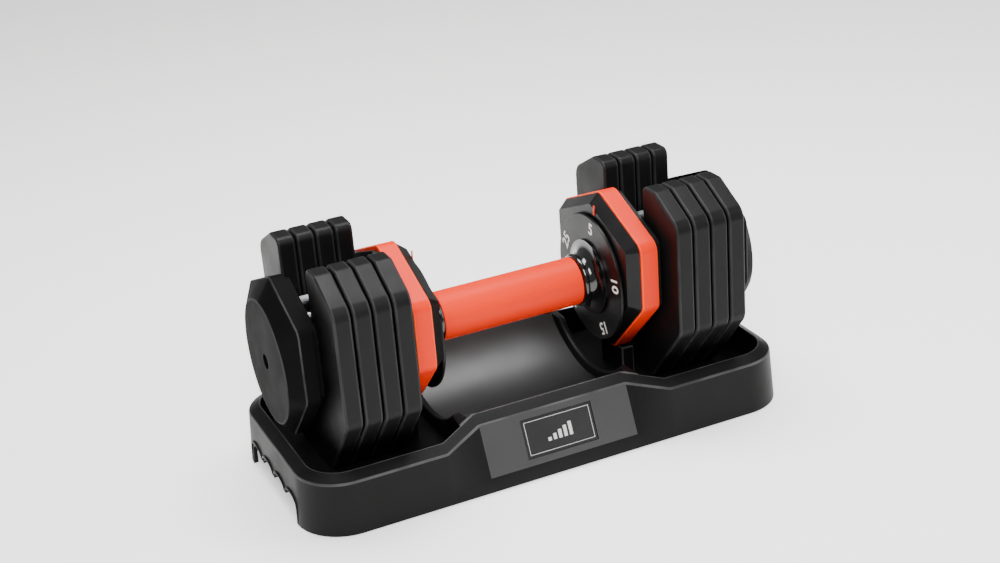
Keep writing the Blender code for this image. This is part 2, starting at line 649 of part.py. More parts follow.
def lock_pin(name, side, steel):
    """Upright pin with a head that drops into the index ring's notch."""
    head_bottom = -(INDEX_RADIUS - INDEX_FLANGE - PIN_HEAD_GAP)
    head_top = head_bottom + PIN_HEAD_HEIGHT
    tip = BAND_BOTTOM + PIN_TRAVEL + PIN_LOW
    bm = bmesh.new()
    cylinder(bm, PIN_RADIUS, tip, head_bottom + OVERCUT, (side * PIN_X, 0.0), "Z", 12)
    shank = place_cutter(name + "_shank", bmesh_to_mesh(name + "_shank", bm))
    bm = bmesh.new()
    reach = sorted((side * (INDEX_END - PIN_HEAD_REACH), side * (PIN_X + PIN_HEAD_BACK)))
    box(bm, (reach[0], -PIN_HEAD_HALF, head_bottom), (reach[1], PIN_HEAD_HALF, head_top))
    head = place(name, bmesh_to_mesh(name, bm), steel)
    combine(head, shank, "UNION")
    return head_top


def lock_spring(name, side, head_top, steel):
    """Compression spring that presses the pin down, a helix of round wire."""
    bottom = head_top + GAP + SPRING_WIRE
    top = SHELF_TOP - SHELF_THICKNESS - GAP - SPRING_WIRE
    count = SPRING_TURNS * SPRING_POINTS + 1
    curve = bpy.data.curves.new(name, "CURVE")
    curve.dimensions = "3D"
    curve.bevel_depth = SPRING_WIRE
    curve.bevel_resolution = 1
    curve.use_fill_caps = True
    spline = curve.splines.new("POLY")
    spline.points.add(count - 1)
    for i, point in enumerate(spline.points):
        angle = 2.0 * math.pi * i / SPRING_POINTS
        point.co = (side * PIN_X + (SPRING_RADIUS - SPRING_WIRE) * math.cos(angle),
                    (SPRING_RADIUS - SPRING_WIRE) * math.sin(angle),
                    bottom + (top - bottom) * i / (count - 1), 1.0)
    spring = bpy.data.objects.new(name, curve)
    spring.location = (0.0, 0.0, AXIS_HEIGHT)
    collection.objects.link(spring)
    curve.materials.append(steel)


# ---------------------------------------------------------------- the plates
def plate_outline():
    """U-shaped plate: two arms beside the slot, upright flanks, a narrower foot."""
    half = [(PLATE_FOOT_HALF, PLATE_BOTTOM, PLATE_CORNER),
            (PLATE_HALF_WIDTH, PLATE_FLANK_END, PLATE_CORNER),
            (PLATE_HALF_WIDTH, PLATE_SHOULDER, PLATE_CORNER),
            (PLATE_ARM_CORNER, PLATE_TOP, PLATE_ARM_RADIUS),
            (SLOT_HALF_WIDTH, PLATE_TOP, PLATE_ARM_RADIUS)]
    right = rounded(half + [(SLOT_HALF_WIDTH, 0.0, 0.0), (0.0, 0.0, 0.0), (0.0, PLATE_BOTTOM, 0.0)])
    right = right[:-2]
    slot = arc((0.0, 0.0), SLOT_HALF_WIDTH, 0.0, -math.pi, SLOT_STEPS)[1:-1]
    return right + slot + [(-y, z) for y, z in reversed(right)]


def plate(name, side, number, coating):
    """One weight plate with the cast hook at the bottom of its slot."""
    inner_face = PLATE_START + (number - 1) * PLATE_PITCH
    reach = sorted((side * inner_face, side * (inner_face + PLATE_THICKNESS)))
    piece = place(name, slab(name, plate_outline(), *reach, bevel=PLATE_BEVEL), coating)
    flange_end = inner_face + SELECTOR_WEB_START + SELECTOR_WEB + SELECTOR_FLANGE_DEPTH
    arm = flange_end + HOOK_CLEARANCE
    arm_end = arm + HOOK_ARM
    tip = inner_face + SELECTOR_WEB_START + SELECTOR_WEB + HOOK_TIP_GAP
    tip_bottom = -(SELECTOR_RADIUS - SELECTOR_FLANGE - HOOK_DROP)
    tip_top = tip_bottom + HOOK_TIP_HEIGHT
    root = -(SLOT_HALF_WIDTH + HOOK_ROOT)
    shape = [(arm, root), (arm_end, root), (arm_end, tip_top), (tip, tip_top),
             (tip, tip_bottom), (arm, tip_bottom)]
    hook = slab(name + "_hook", [(side * x, z) for x, z in shape],
                -HOOK_HALF_WIDTH, HOOK_HALF_WIDTH, axis="Y")
    combine(piece, place_cutter(name + "_hook", hook), "UNION")


# ---------------------------------------------------------------- the tray
def tray_front(inset, z, centre_y, centre_z):
    """Front half of one ring of the tray's body, left to right, pulled in along the panel."""
    length = TRAY_HALF_LENGTH - inset
    width = TRAY_HALF_WIDTH - inset
    radius = TRAY_CORNER - inset
    corner = arc((-length + radius, -width + radius), radius, math.pi, 1.5 * math.pi, CORNER_STEPS)
    left = [(x, y, z) for x, y in corner]
    left += [(-RAMP_END, -width, z), (-PANEL_HALF_LENGTH, -centre_y, centre_z)]
    return left + [(-x, y, height) for x, y, height in reversed(left)]


def tray_blank():
    """Body without hollows: drafted wall, raised middle with a slanted panel, sloping rim."""
    plinth_lean = TRAY_HALF_WIDTH - PANEL_BOTTOM_Y
    levels = ((0.0, TRAY_GROUND_CLEARANCE, TRAY_HALF_WIDTH, TRAY_GROUND_CLEARANCE),
              (plinth_lean, PLINTH_HEIGHT, PANEL_BOTTOM_Y, PLINTH_HEIGHT),
              (TRAY_DRAFT, TRAY_HEIGHT, PANEL_TOP_Y, PANEL_TOP_Z),
              (RIM_INNER_INSET, TRAY_HEIGHT + RIM_RISE, CENTRE_INNER_Y, CENTRE_HEIGHT))
    bm = bmesh.new()
    rings = []
    for level in levels:
        front = tray_front(*level)
        rear = [(x, -y, z) for x, y, z in reversed(front)]
        rings.append([bm.verts.new(point) for point in front + rear])
    for lower, upper in zip(rings, rings[1:]):
        for k, vert in enumerate(lower):
            bm.faces.new((lower[k - 1], vert, upper[k], upper[k - 1]))
    for ring in (rings[0], rings[-1]):
        half = len(ring) // 2
        for k in range(half - 1):
            bm.faces.new((ring[k], ring[k + 1], ring[-k - 2], ring[-k - 1]))
    return bmesh_to_mesh("tray_shell", bm)


def tray_shell(plastic):
    """Moulded tray: raised middle with a round trough, a bay at each end, open underneath."""
    tray = place("tray_shell", tray_blank(), plastic, (0.0, 0.0, 0.0))
    for name, radius, reach in (("lip_bore", LIP_RADIUS, LIP_OUTER + OVERCUT),
                                ("trough", TROUGH_RADIUS, LIP_INNER)):
        bm = bmesh.new()
        cylinder(bm, radius, -reach, reach, (0.0, AXIS_HEIGHT), "X", TROUGH_STEPS)
        combine(tray, place_cutter(name, bmesh_to_mesh(name, bm), GROUND), "DIFFERENCE")
    tray_bays(tray)
    tray_underside(tray)


def tray_bays(tray):
    """Bays for housings and plates, each with a cradle and a peg that lifts the lock pin."""
    end = TRAY_HALF_LENGTH - RIM_INNER_INSET
    half = TRAY_HALF_WIDTH - RIM_INNER_INSET
    corner = TRAY_CORNER - RIM_INNER_INSET
    narrowing = (RAMP_END - LIP_OUTER) / PANEL_RAMP
    near_half = half - (half - CENTRE_INNER_Y) * narrowing
    middle = (LIP_OUTER + end) / 2.0
    outline = rounded([(end, -half, corner), (end, half, corner), (RAMP_END, half, BAY_CORNER),
                       (LIP_OUTER, near_half, BAY_CORNER), (LIP_OUTER, -near_half, BAY_CORNER),
                       (RAMP_END, -half, BAY_CORNER)], BAY_CORNER_STEPS)
    for side_name, side in SIDES:
        bm = bmesh.new()
        loops = []
        for z, lean in ((TRAY_FLOOR, BAY_LEAN), (TRAY_HEIGHT + RIM_RISE, 0.0),
                        (CENTRE_HEIGHT + OVERCUT, 0.0)):
            scale = 1.0 - lean / half
            verts = [bm.verts.new((side * (middle + (x - middle) * scale), y * scale, z))
                     for x, y in outline]
            loops.append([bm.edges.new(pair) for pair in zip(verts, verts[1:] + verts[:1])])
        for first, second in zip(loops, loops[1:]):
            bmesh.ops.bridge_loops(bm, edges=first + second)
        bmesh.ops.contextual_create(bm, geom=loops[0])
        bmesh.ops.contextual_create(bm, geom=loops[-1])
        name = "bay_" + side_name
        combine(tray, place_cutter(name, bmesh_to_mesh(name, bm), GROUND), "DIFFERENCE")
        bm = bmesh.new()
        reach = sorted((side * (HOUSING_END - CRADLE_LENGTH), side * HOUSING_END))
        box(bm, (reach[0], -CRADLE_HALF_WIDTH, TRAY_FLOOR - OVERCUT),
            (reach[1], CRADLE_HALF_WIDTH, AXIS_HEIGHT + BAND_BOTTOM - GAP))
        cylinder(bm, PIN_RADIUS - PEG_CLEARANCE, AXIS_HEIGHT + BAND_BOTTOM - OVERCUT,
                 AXIS_HEIGHT + BAND_BOTTOM + PEG_RISE, (side * PIN_X, 0.0), "Z", 12)
        name = "cradle_" + side_name
        combine(tray, place_cutter(name, bmesh_to_mesh(name, bm), GROUND), "UNION")


def foot_places():
    """Centres of the four feet."""
    x = TRAY_HALF_LENGTH - FOOT_INSET
    y = TRAY_HALF_WIDTH - FOOT_INSET
    return [(sx * x, sy * y) for sx in (-1.0, 1.0) for sy in (-1.0, 1.0)]


def tray_underside(tray):
    """Hollow underside with foot bosses, and a finger grip at each short end."""
    half_width = PANEL_TOP_Y + (PANEL_TOP_Z - UNDERSIDE_ROOF) * PANEL_SLOPE - TRAY_WALL
    half_length = TRAY_HALF_LENGTH - TRAY_DRAFT - TRAY_WALL
    corner = TRAY_CORNER - TRAY_WALL - TRAY_DRAFT
    outline = rounded([(half_length, -half_width, corner), (half_length, half_width, corner),
                       (-half_length, half_width, corner), (-half_length, -half_width, corner)],
                      CORNER_STEPS)
    hollow = slab("underside", outline, -OVERCUT, UNDERSIDE_ROOF, "Z")
    combine(tray, place_cutter("underside", hollow, GROUND), "DIFFERENCE")
    bm = bmesh.new()
    for centre in foot_places():
        cylinder(bm, FOOT_RADIUS + BOSS_PROUD, FOOT_THICKNESS + GAP, UNDERSIDE_ROOF + OVERCUT,
                 centre, "Z", FOOT_STEPS)
    combine(tray, place_cutter("foot_bosses", bmesh_to_mesh("foot_bosses", bm), GROUND), "UNION")
    width = 2.0 * GRAB_HALF_WIDTH / GRAB_SCALLOPS
    opening = [(-GRAB_HALF_WIDTH, -OVERCUT), (-GRAB_HALF_WIDTH, GRAB_HEIGHT)]
    for k in range(GRAB_SCALLOPS):
        centre = -GRAB_HALF_WIDTH + width * (k + 0.5)
        rise = arc((centre, 0.0), (width - GRAB_RIB) / 2.0, math.pi, 0.0, 6)
        opening += [(y, GRAB_HEIGHT + z / 2.0) for y, z in rise]
    opening += [(GRAB_HALF_WIDTH, GRAB_HEIGHT), (GRAB_HALF_WIDTH, -OVERCUT)]
    for side_name, side in SIDES:
        reach = sorted((side * (half_length - OVERCUT), side * (TRAY_HALF_LENGTH + OVERCUT)))
        name = "finger_grip_" + side_name
        combine(tray, place_cutter(name, slab(name, opening, *reach), GROUND), "DIFFERENCE")
    label_recess = label_mesh("label_recess", LABEL_HALF_LENGTH + GAP, LABEL_HALF_HEIGHT + GAP,
                              -OVERCUT, LABEL_THICKNESS + 2.0 * GAP)
    combine(tray, place_cutter("label_recess", label_recess, GROUND), "DIFFERENCE")


def label_mesh(name, half_length, half_height, out, depth):
    """Block in the front panel's plane: from out before the panel to depth behind it."""
    along = Vector((0.0, PANEL_SLOPE, 1.0)).normalized()
    inward = Vector((0.0, 1.0, -PANEL_SLOPE)).normalized()
    middle = Vector((0.0, -(PANEL_TOP_Y + PANEL_BOTTOM_Y) / 2.0, (PANEL_TOP_Z + PLINTH_HEIGHT) / 2.0))
    bm = bmesh.new()
    for vert in box(bm, (-1.0, 0.0, -1.0), (1.0, 1.0, 1.0)):
        step = inward * (out + vert.co.y * (depth - out))
        vert.co = middle + Vector((vert.co.x * half_length, 0.0, 0.0)) \
            + along * vert.co.z * half_height + step
    return bmesh_to_mesh(name, bm)


def tray_fittings(rubber, plate_finish):
    """Feet and the blank label plate."""
    for number, centre in enumerate(foot_places(), start=1):
        bm = bmesh.new()
        cylinder(bm, FOOT_RADIUS, 0.0, FOOT_THICKNESS, centre, "Z", FOOT_STEPS)
        name = f"tray_foot_{number}"
        place(name, bmesh_to_mesh(name, bm, smooth=True), rubber, GROUND)
    label = label_mesh("label_plate", LABEL_HALF_LENGTH, LABEL_HALF_HEIGHT, GAP,
                       LABEL_THICKNESS + GAP)
    place("label_plate", label, plate_finish, GROUND)


# ---------------------------------------------------------------- the object
def build():
    """Make every sub-part."""
    black = finish("black_plastic", (0.020, 0.020, 0.021), 0.42)
    coating = finish("plate_coating", (0.024, 0.024, 0.026), 0.48)
    gloss = finish("gloss_black", (0.010, 0.010, 0.011), 0.16)
    orange = finish("orange_plastic", (1.000, 0.105, 0.020), 0.38)
    grip = finish("orange_grip", (1.000, 0.115, 0.025), 0.45)
    steel = finish("steel", (0.550, 0.560, 0.570), 0.30, 1.0)
    selector = finish("selector_nylon", (0.080, 0.080, 0.085), 0.50)
    tray_plastic = finish("tray_plastic", (0.026, 0.026, 0.027), 0.46)
    rubber = finish("foot_rubber", (0.012, 0.012, 0.012), 0.80)
    label = finish("label_plate", (0.012, 0.012, 0.013), 0.35)

    grip_and_shaft(grip, steel)
    for side_name, side in SIDES:
        neck("neck_" + side_name, side, gloss)
        dial("dial_" + side_name, side, black)
        index_ring("index_ring_" + side_name, side, steel)
        end_fasteners(side_name, side, steel)
        turned("housing_bush_" + side_name,
               ring_profile(HOUSING_START, WALL_END, BUSH_INNER, BUSH_OUTER), selector, side)
        turned("cap_bush_" + side_name,
               ring_profile(CAP_START + RUNNING_GAP, SHAFT_HALF_LENGTH, SHAFT_RADIUS + GAP,
                            CAP_BUSH_RADIUS - GAP), selector, side)
        pin_bore = pin_bore_cutter("pin_bore_" + side_name, side)
        holes = rod_holes("rod_holes_" + side_name, side)
        housing("housing_" + side_name, side, black, pin_bore)
        band("band_" + side_name, side, orange, pin_bore)
        back_cover("back_cover_" + side_name, side, black, holes)
        tie_bolts(side_name, side, steel)
        end_cap("end_cap_" + side_name, side, black, holes)
        pointer("pointer_" + side_name, side, orange)
        head_top = lock_pin("lock_pin_" + side_name, side, steel)
        lock_spring("lock_spring_" + side_name, side, head_top, steel)
        for number in range(1, PLATES_PER_SIDE + 1):
            plate(f"plate_{side_name}_{number}", side, number, coating)
            selector_disc(f"selector_{side_name}_{number}", side, number, selector)
    tray_shell(tray_plastic)
    tray_fittings(rubber, label)


for leftover in list(bpy.data.objects):
    bpy.data.objects.remove(leftover, do_unlink=True)
bpy.context.scene.collection.children.link(collection)
bpy.context.scene.collection.children.link(cutters)
build()
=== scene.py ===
"""Twist-grip adjustable dumbbell standing in its moulded storage tray.

One section for each piece or group of like pieces, in the order in which the real thing goes
together.  Metres, +Z up, the grip along X, the label on the tray's front (-Y) side.
"""
import json
import math

import bmesh
import bpy
from mathutils import Matrix, Quaternion, Vector

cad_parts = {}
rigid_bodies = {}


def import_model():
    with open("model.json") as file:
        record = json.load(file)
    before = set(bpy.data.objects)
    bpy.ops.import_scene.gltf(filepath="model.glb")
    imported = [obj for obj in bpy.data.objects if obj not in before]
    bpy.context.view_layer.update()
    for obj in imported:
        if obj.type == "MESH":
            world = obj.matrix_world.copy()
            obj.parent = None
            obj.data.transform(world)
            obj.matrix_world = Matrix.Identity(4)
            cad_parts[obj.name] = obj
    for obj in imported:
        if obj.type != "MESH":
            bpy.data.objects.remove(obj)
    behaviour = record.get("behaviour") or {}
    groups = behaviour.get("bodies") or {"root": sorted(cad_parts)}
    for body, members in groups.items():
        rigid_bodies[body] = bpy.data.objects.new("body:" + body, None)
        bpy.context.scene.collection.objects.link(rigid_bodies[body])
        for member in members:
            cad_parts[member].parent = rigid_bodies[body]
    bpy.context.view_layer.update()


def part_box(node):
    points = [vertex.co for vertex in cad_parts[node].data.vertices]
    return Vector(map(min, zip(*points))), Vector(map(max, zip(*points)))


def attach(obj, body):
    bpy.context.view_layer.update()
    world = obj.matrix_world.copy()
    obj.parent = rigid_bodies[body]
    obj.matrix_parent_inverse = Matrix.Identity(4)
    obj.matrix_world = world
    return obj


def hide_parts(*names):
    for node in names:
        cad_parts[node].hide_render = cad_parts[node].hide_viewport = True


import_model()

# ------------------------------------------------------------------ stage
# A pale paper floor, plain soft studio lights and the camera: a long lens a little over a metre
# away, to the left of the tray's front and above it, held with a slight tilt.
CAMERA_AZIMUTH = math.radians(-23.36)
CAMERA_ELEVATION = math.radians(23.77)
CAMERA_ROLL = math.radians(-4.66)
CAMERA_AIM = Vector((-0.0009, 0.0056, 0.1079))
CAMERA_DISTANCE = 1.1585
CAMERA_LENS_MM = 60.64
FLOOR_SIZE = 16.0
PAPER = "#F4F4F3"

SOFTBOXES = (                    # name, place, aim, width, height, watts
    ("key", (-0.45, -1.05, 1.25), (0.0, 0.0, 0.05), 0.7, 0.7, 30.0),
    ("top", (0.10, 0.25, 1.35), (0.0, 0.0, 0.05), 1.1, 0.5, 32.0),
    ("side", (1.25, -0.65, 0.65), (0.0, 0.0, 0.08), 0.4, 0.9, 12.0),
)


def linear(code):
    """Linear RGBA of an sRGB hex colour."""
    parts = [int(code[i:i + 2], 16) / 255.0 for i in (1, 3, 5)]
    return (*[p / 12.92 if p <= 0.04045 else ((p + 0.055) / 1.055) ** 2.4 for p in parts], 1.0)


def add_node(material, kind, inputs=None, **settings):
    """Add a node; inputs give each socket a value, or a (node, output name) link."""
    node = material.node_tree.nodes.new("ShaderNode" + kind)
    for name, value in settings.items():
        setattr(node, name, value)
    for name, value in (inputs or {}).items():
        if isinstance(value, tuple) and isinstance(value[0], bpy.types.Node):
            material.node_tree.links.new(value[0].outputs[value[1]], node.inputs[name])
        else:
            node.inputs[name].default_value = value
    return node


def new_material(name, base, roughness, **sockets):
    """Principled material: uniform values go on its own sockets."""
    material = bpy.data.materials.new(name)
    material.use_nodes = True
    shader = material.node_tree.nodes["Principled BSDF"]
    shader.inputs["Base Color"].default_value = linear(base)
    shader.inputs["Roughness"].default_value = roughness
    for socket, value in sockets.items():
        shader.inputs[socket.replace("_", " ")].default_value = value
    return material


paper = new_material("seamless_paper", PAPER, 0.9, Emission_Color=linear(PAPER),
                     Emission_Strength=0.7)
bm = bmesh.new()
bmesh.ops.create_grid(bm, x_segments=1, y_segments=1, size=FLOOR_SIZE / 2.0)
floor_mesh = bpy.data.meshes.new("floor")
bm.to_mesh(floor_mesh)
bm.free()
floor_mesh.materials.append(paper)
floor = bpy.data.objects.new("floor", floor_mesh)
bpy.context.scene.collection.objects.link(floor)

for name, spot, aim, width, height, watts in SOFTBOXES:
    lamp = bpy.data.lights.new(name, "AREA")
    lamp.shape = "RECTANGLE"
    lamp.size = width
    lamp.size_y = height
    lamp.energy = watts
    softbox = bpy.data.objects.new(name, lamp)
    softbox.location = spot
    softbox.rotation_euler = (Vector(aim) - Vector(spot)).to_track_quat("-Z", "Y").to_euler()
    bpy.context.scene.collection.objects.link(softbox)

world = bpy.data.worlds.new("studio")
world.use_nodes = True
world.node_tree.nodes["Background"].inputs["Color"].default_value = linear("#FFFFFF")
world.node_tree.nodes["Background"].inputs["Strength"].default_value = 0.35
bpy.context.scene.world = world

back = Vector((math.sin(CAMERA_AZIMUTH) * math.cos(CAMERA_ELEVATION),
               -math.cos(CAMERA_AZIMUTH) * math.cos(CAMERA_ELEVATION),
               math.sin(CAMERA_ELEVATION)))
camera = bpy.data.objects.new("camera", bpy.data.cameras.new("camera"))
camera.data.lens = CAMERA_LENS_MM
camera.location = CAMERA_AIM + back * CAMERA_DISTANCE
camera.rotation_mode = "QUATERNION"
camera.rotation_quaternion = (-back).to_track_quat("-Z", "Y") @ Quaternion((0, 0, 1), CAMERA_ROLL)
bpy.context.scene.collection.objects.link(camera)
bpy.context.scene.camera = camera

# ------------------------------------------------------------------ tray
# One injection moulding in black polypropylene with a fine spark-eroded grain.  The wall leans
# in, a sloping rim runs all round it and climbs over the slanted panel in the middle, a round
# trough leaves room for the fingers, and each end has a deep bay for plates, housing and cap.
tray_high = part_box("tray_shell")[1]
plate_low, plate_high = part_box("plate_left_1")
grip_low, grip_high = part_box("grip_sleeve")
housing_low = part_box("housing_right")[0]
AXIS_HEIGHT = (grip_low.z + grip_high.z) / 2.0
TRAY_HALF_LENGTH = tray_high.x
TRAY_HALF_WIDTH = tray_high.y
TRAY_CORNER = 0.0340
TRAY_FLOOR = 0.0217
GROUND_CLEARANCE = 0.0006
WALL_LEAN = 0.0025
WALL_TOP = 0.0370
RIM_WIDTH = 0.0085
RIM_RISE = 0.0050
BAY_LEAN = 0.0020
PLINTH_HEIGHT = 0.0110
PANEL_TOP = 0.0440
CENTRE_TOP = 0.0495
TROUGH_RADIUS = AXIS_HEIGHT - 0.0230
LIP_RISE = 0.0060
LIP_OUTER = housing_low.x - 0.0015
LIP_INNER = LIP_OUTER - 0.0068
PANEL_END = LIP_OUTER - 0.0118
RAMP_END = PANEL_END + 0.0280
RAMP_SOFTNESS = 0.04             # share of the ramp that bends in and out
TRAY_SKIN = 0.0032
UNDERSIDE_ROOF = 0.0177
UNDERSIDE_TAPER = 0.93           # its roof is narrower, clear of the slanted panel
EDGE_ROUND = 0.0010
TROUGH_PARTS = 40                # facets across the trough
TROUGH_ARC = 0.86                # share of them on the round part, the rest on its two lands
TROUGH_SECTIONS = (0.0, 0.0300)  # where the body is cut into sections, out from the middle
PANEL_LEAD = 0.0040              # last section before the panel's end
LIP_LEAD = 0.0002                # last section before the lip
LIP_STEPS = (0.0001, 0.0005, 0.0011, 0.0020)       # sections in from both ends of the lip
RAMP_PARTS = 14
RIM_EDGE_ANGLE = math.radians(25.0)
RIM_SLACK = 0.0010               # how far below the rim's top the flat inside it may lie
TROUGH_TONE_SLACK = 0.0010            # how far off the trough's radius still counts as trough
SAME = 1e-6                      # places closer than this are one place
NEAR = 1e-5                      # the same, for places worked out in two ways
CLOSE = 1e-4                     # the same, for places moved by a merge
SIDES = (("left", -1.0), ("right", 1.0))


def shaded(piece, angle=40.0):
    """Shade smooth but for sharp edges, with the flats kept flat up to their rounded edges."""
    piece.data.shade_smooth()
    piece.data.set_sharp_from_angle(angle=math.radians(angle))
    normals = piece.modifiers.new("flats", "WEIGHTED_NORMAL")
    normals.keep_sharp = True
    normals.weight = 100


def finished(name, bm, material, body, slot, *nodes):
    """Turn a bmesh into a piece that rides on a body and stands for its CAD nodes."""
    bmesh.ops.remove_doubles(bm, verts=bm.verts, dist=SAME)
    bmesh.ops.recalc_face_normals(bm, faces=bm.faces)
    mesh = bpy.data.meshes.new(name)
    bm.to_mesh(mesh)
    bm.free()
    piece = bpy.data.objects.new(name, mesh)
    bpy.context.scene.collection.objects.link(piece)
    shaded(piece)
    mesh.materials.append(material)
    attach(piece, body)
    if nodes:
        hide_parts(*nodes)
    return piece


def cut(piece, cutter):
    """Cut a bmesh's shape out of a piece for good."""
    bmesh.ops.recalc_face_normals(cutter, faces=cutter.faces)
    mesh = bpy.data.meshes.new("cutter")
    cutter.to_mesh(mesh)
    cutter.free()
    tool = bpy.data.objects.new("cutter", mesh)
    bpy.context.scene.collection.objects.link(tool)
    piece.modifiers.clear()
    boolean = piece.modifiers.new("cut", "BOOLEAN")
    boolean.operation = "DIFFERENCE"
    boolean.object = tool
    shaped = bpy.data.meshes.new_from_object(
        piece.evaluated_get(bpy.context.evaluated_depsgraph_get()))
    piece.modifiers.clear()
    old = piece.data
    piece.data = shaped
    shaped.name = old.name
    bpy.data.meshes.remove(old)
    bpy.data.objects.remove(tool)
    bpy.data.meshes.remove(mesh)
    shaded(piece)


def grown(bm, faces, shift, keep=False):
    """Extrude faces by a shift; gives the new end faces.  The old ones stay only if asked."""
    made = bmesh.ops.extrude_face_region(bm, geom=faces, use_keep_orig=True)["geom"]
    bmesh.ops.translate(bm, verts=[v for v in made if isinstance(v, bmesh.types.BMVert)],
                        vec=shift)
    if not keep:
        bmesh.ops.delete(bm, geom=faces, context="FACES_ONLY")
    return [f for f in made if isinstance(f, bmesh.types.BMFace)]


def rounded_face(bm, corners, lift, segments=6):
    """Flat face through (a, b, radius) corners; lift turns (a, b) into a place."""
    verts = [bm.verts.new(lift(a, b)) for a, b, _ in corners]
    bm.faces.new(verts)
    for i, (vert, (a, b, radius)) in enumerate(zip(verts, corners)):
        before = Vector(corners[i - 1][:2]) - Vector((a, b))
        after = Vector(corners[(i + 1) % len(corners)][:2]) - Vector((a, b))
        if radius > 0.0:
            reach = radius / math.tan(before.angle(after) / 2.0)
            bmesh.ops.bevel(bm, geom=[vert], offset=reach, offset_type="OFFSET", profile=0.5,
                            segments=segments, affect="VERTICES", clamp_overlap=False,
                            material=-1)
    bm.faces.ensure_lookup_table()
    return bm.faces[0]


def ramp(x):
    """0 along the panel, 1 beyond its ramp, with a soft bend at both ends."""
    share = (abs(x) - PANEL_END) / (RAMP_END - PANEL_END)
    soft = RAMP_SOFTNESS
    if share <= -soft:
        return 0.0
    if share >= 1.0 + soft:
        return 1.0
    if share < soft:
        return (share + soft) ** 2 / (4.0 * soft)
    if share > 1.0 - soft:
        return 1.0 - (1.0 + soft - share) ** 2 / (4.0 * soft)
    return share


def mixed(first, second, share):
    """Value between two others."""
    return first + (second - first) * share


# Levels of the outer body, bottom to top: inset from the foot, height, and the panel's own
# half width and height at that level.
rim_inset = WALL_LEAN + RIM_WIDTH
trough_edge = math.sqrt(TROUGH_RADIUS ** 2 - (AXIS_HEIGHT - CENTRE_TOP) ** 2)
plinth_inset = WALL_LEAN * PLINTH_HEIGHT / WALL_TOP
LEVELS = ((0.0, GROUND_CLEARANCE, TRAY_HALF_WIDTH, GROUND_CLEARANCE),
          (plinth_inset, PLINTH_HEIGHT, TRAY_HALF_WIDTH - plinth_inset, PLINTH_HEIGHT),
          (WALL_LEAN, WALL_TOP, trough_edge + RIM_WIDTH, PANEL_TOP),
          (rim_inset, WALL_TOP + RIM_RISE, trough_edge, CENTRE_TOP))
STEP = 0.1                       # spacing of the levels while the body is still a plain block


def on_level(x, y, level):
    """Place of a point of the foot's outline on one of the body's levels."""
    inset, height, panel_y, panel_z = LEVELS[level]
    core = Vector((max(-1.0, min(1.0, x / (TRAY_HALF_LENGTH - TRAY_CORNER))),
                   max(-1.0, min(1.0, y / (TRAY_HALF_WIDTH - TRAY_CORNER)))))
    core.x *= TRAY_HALF_LENGTH - TRAY_CORNER
    core.y *= TRAY_HALF_WIDTH - TRAY_CORNER
    place = core + (Vector((x, y)) - core) * ((TRAY_CORNER - inset) / TRAY_CORNER)
    share = ramp(x)
    wall_y = math.copysign(mixed(panel_y, abs(place.y), share), y) if share < 1.0 else place.y
    return Vector((place.x, wall_y, mixed(panel_z, height, share)))


def lip_profile(x):
    """Radius of the trough about the grip's axis: the lip stands in from it at each end."""
    middle = (LIP_INNER + LIP_OUTER) / 2.0
    half = (LIP_OUTER - LIP_INNER) / 2.0
    off = (abs(x) - middle) / half
    if off < -1.0:
        return TROUGH_RADIUS
    crown = max(0.0, 1.0 - abs(off) ** 4)
    return TROUGH_RADIUS - LIP_RISE * math.sqrt(crown)


def across_trough(x, share):
    """Point of the raised middle: land, trough or lip, and land again; share runs -1 to 1."""
    edge = on_level(x, TRAY_HALF_WIDTH, 3)
    radius = lip_profile(x)
    reach = math.acos((AXIS_HEIGHT - edge.z) / radius)
    if abs(share) <= TROUGH_ARC:
        angle = reach * share / TROUGH_ARC
        return Vector((x, radius * math.sin(angle), AXIS_HEIGHT - radius * math.cos(angle)))
    over = (abs(share) - TROUGH_ARC) / (1.0 - TROUGH_ARC)
    return Vector((x, math.copysign(mixed(radius * math.sin(reach), edge.y, over), share), edge.z))


bm = bmesh.new()
foot = [(TRAY_HALF_LENGTH, -TRAY_HALF_WIDTH, TRAY_CORNER),
        (TRAY_HALF_LENGTH, TRAY_HALF_WIDTH, TRAY_CORNER),
        (-TRAY_HALF_LENGTH, TRAY_HALF_WIDTH, TRAY_CORNER),
        (-TRAY_HALF_LENGTH, -TRAY_HALF_WIDTH, TRAY_CORNER)]
top = [rounded_face(bm, foot, lambda x, y: (x, y, 0.0), segments=14)]
for level in range(1, len(LEVELS)):
    top = grown(bm, top, (0.0, 0.0, STEP), keep=level == 1)
stations = [*TROUGH_SECTIONS, PANEL_END - PANEL_LEAD, LIP_INNER - LIP_LEAD,
            (LIP_INNER + LIP_OUTER) / 2.0, LIP_OUTER]
stations += [x for step in LIP_STEPS for x in (LIP_INNER + step, LIP_OUTER - step)]
stations += [PANEL_END + (RAMP_END - PANEL_END) * k / RAMP_PARTS
             for k in range(-1, RAMP_PARTS + 2)]
stations += [mixed(PANEL_END, RAMP_END, end + bend * RAMP_SOFTNESS)
             for end in (0.0, 1.0) for bend in (-1.0, -0.5, 0.5, 1.0)]
stations = sorted({round(s, 6) for s in stations})
for station in stations:
    for x in {station, -station}:
        bmesh.ops.bisect_plane(bm, geom=bm.verts[:] + bm.edges[:] + bm.faces[:],
                               plane_co=(x, 0.0, 0.0), plane_no=(1.0, 0.0, 0.0), dist=1e-7)
middle = [f for f in bm.faces if f.calc_center_median().z > (len(LEVELS) - 1.5) * STEP
          and abs(f.normal.z) > 0.5 and abs(f.calc_center_median().x) < LIP_OUTER]
bmesh.ops.delete(bm, geom=middle, context="FACES")
for vert in bm.verts:
    vert.co = on_level(vert.co.x, vert.co.y, round(vert.co.z / STEP))

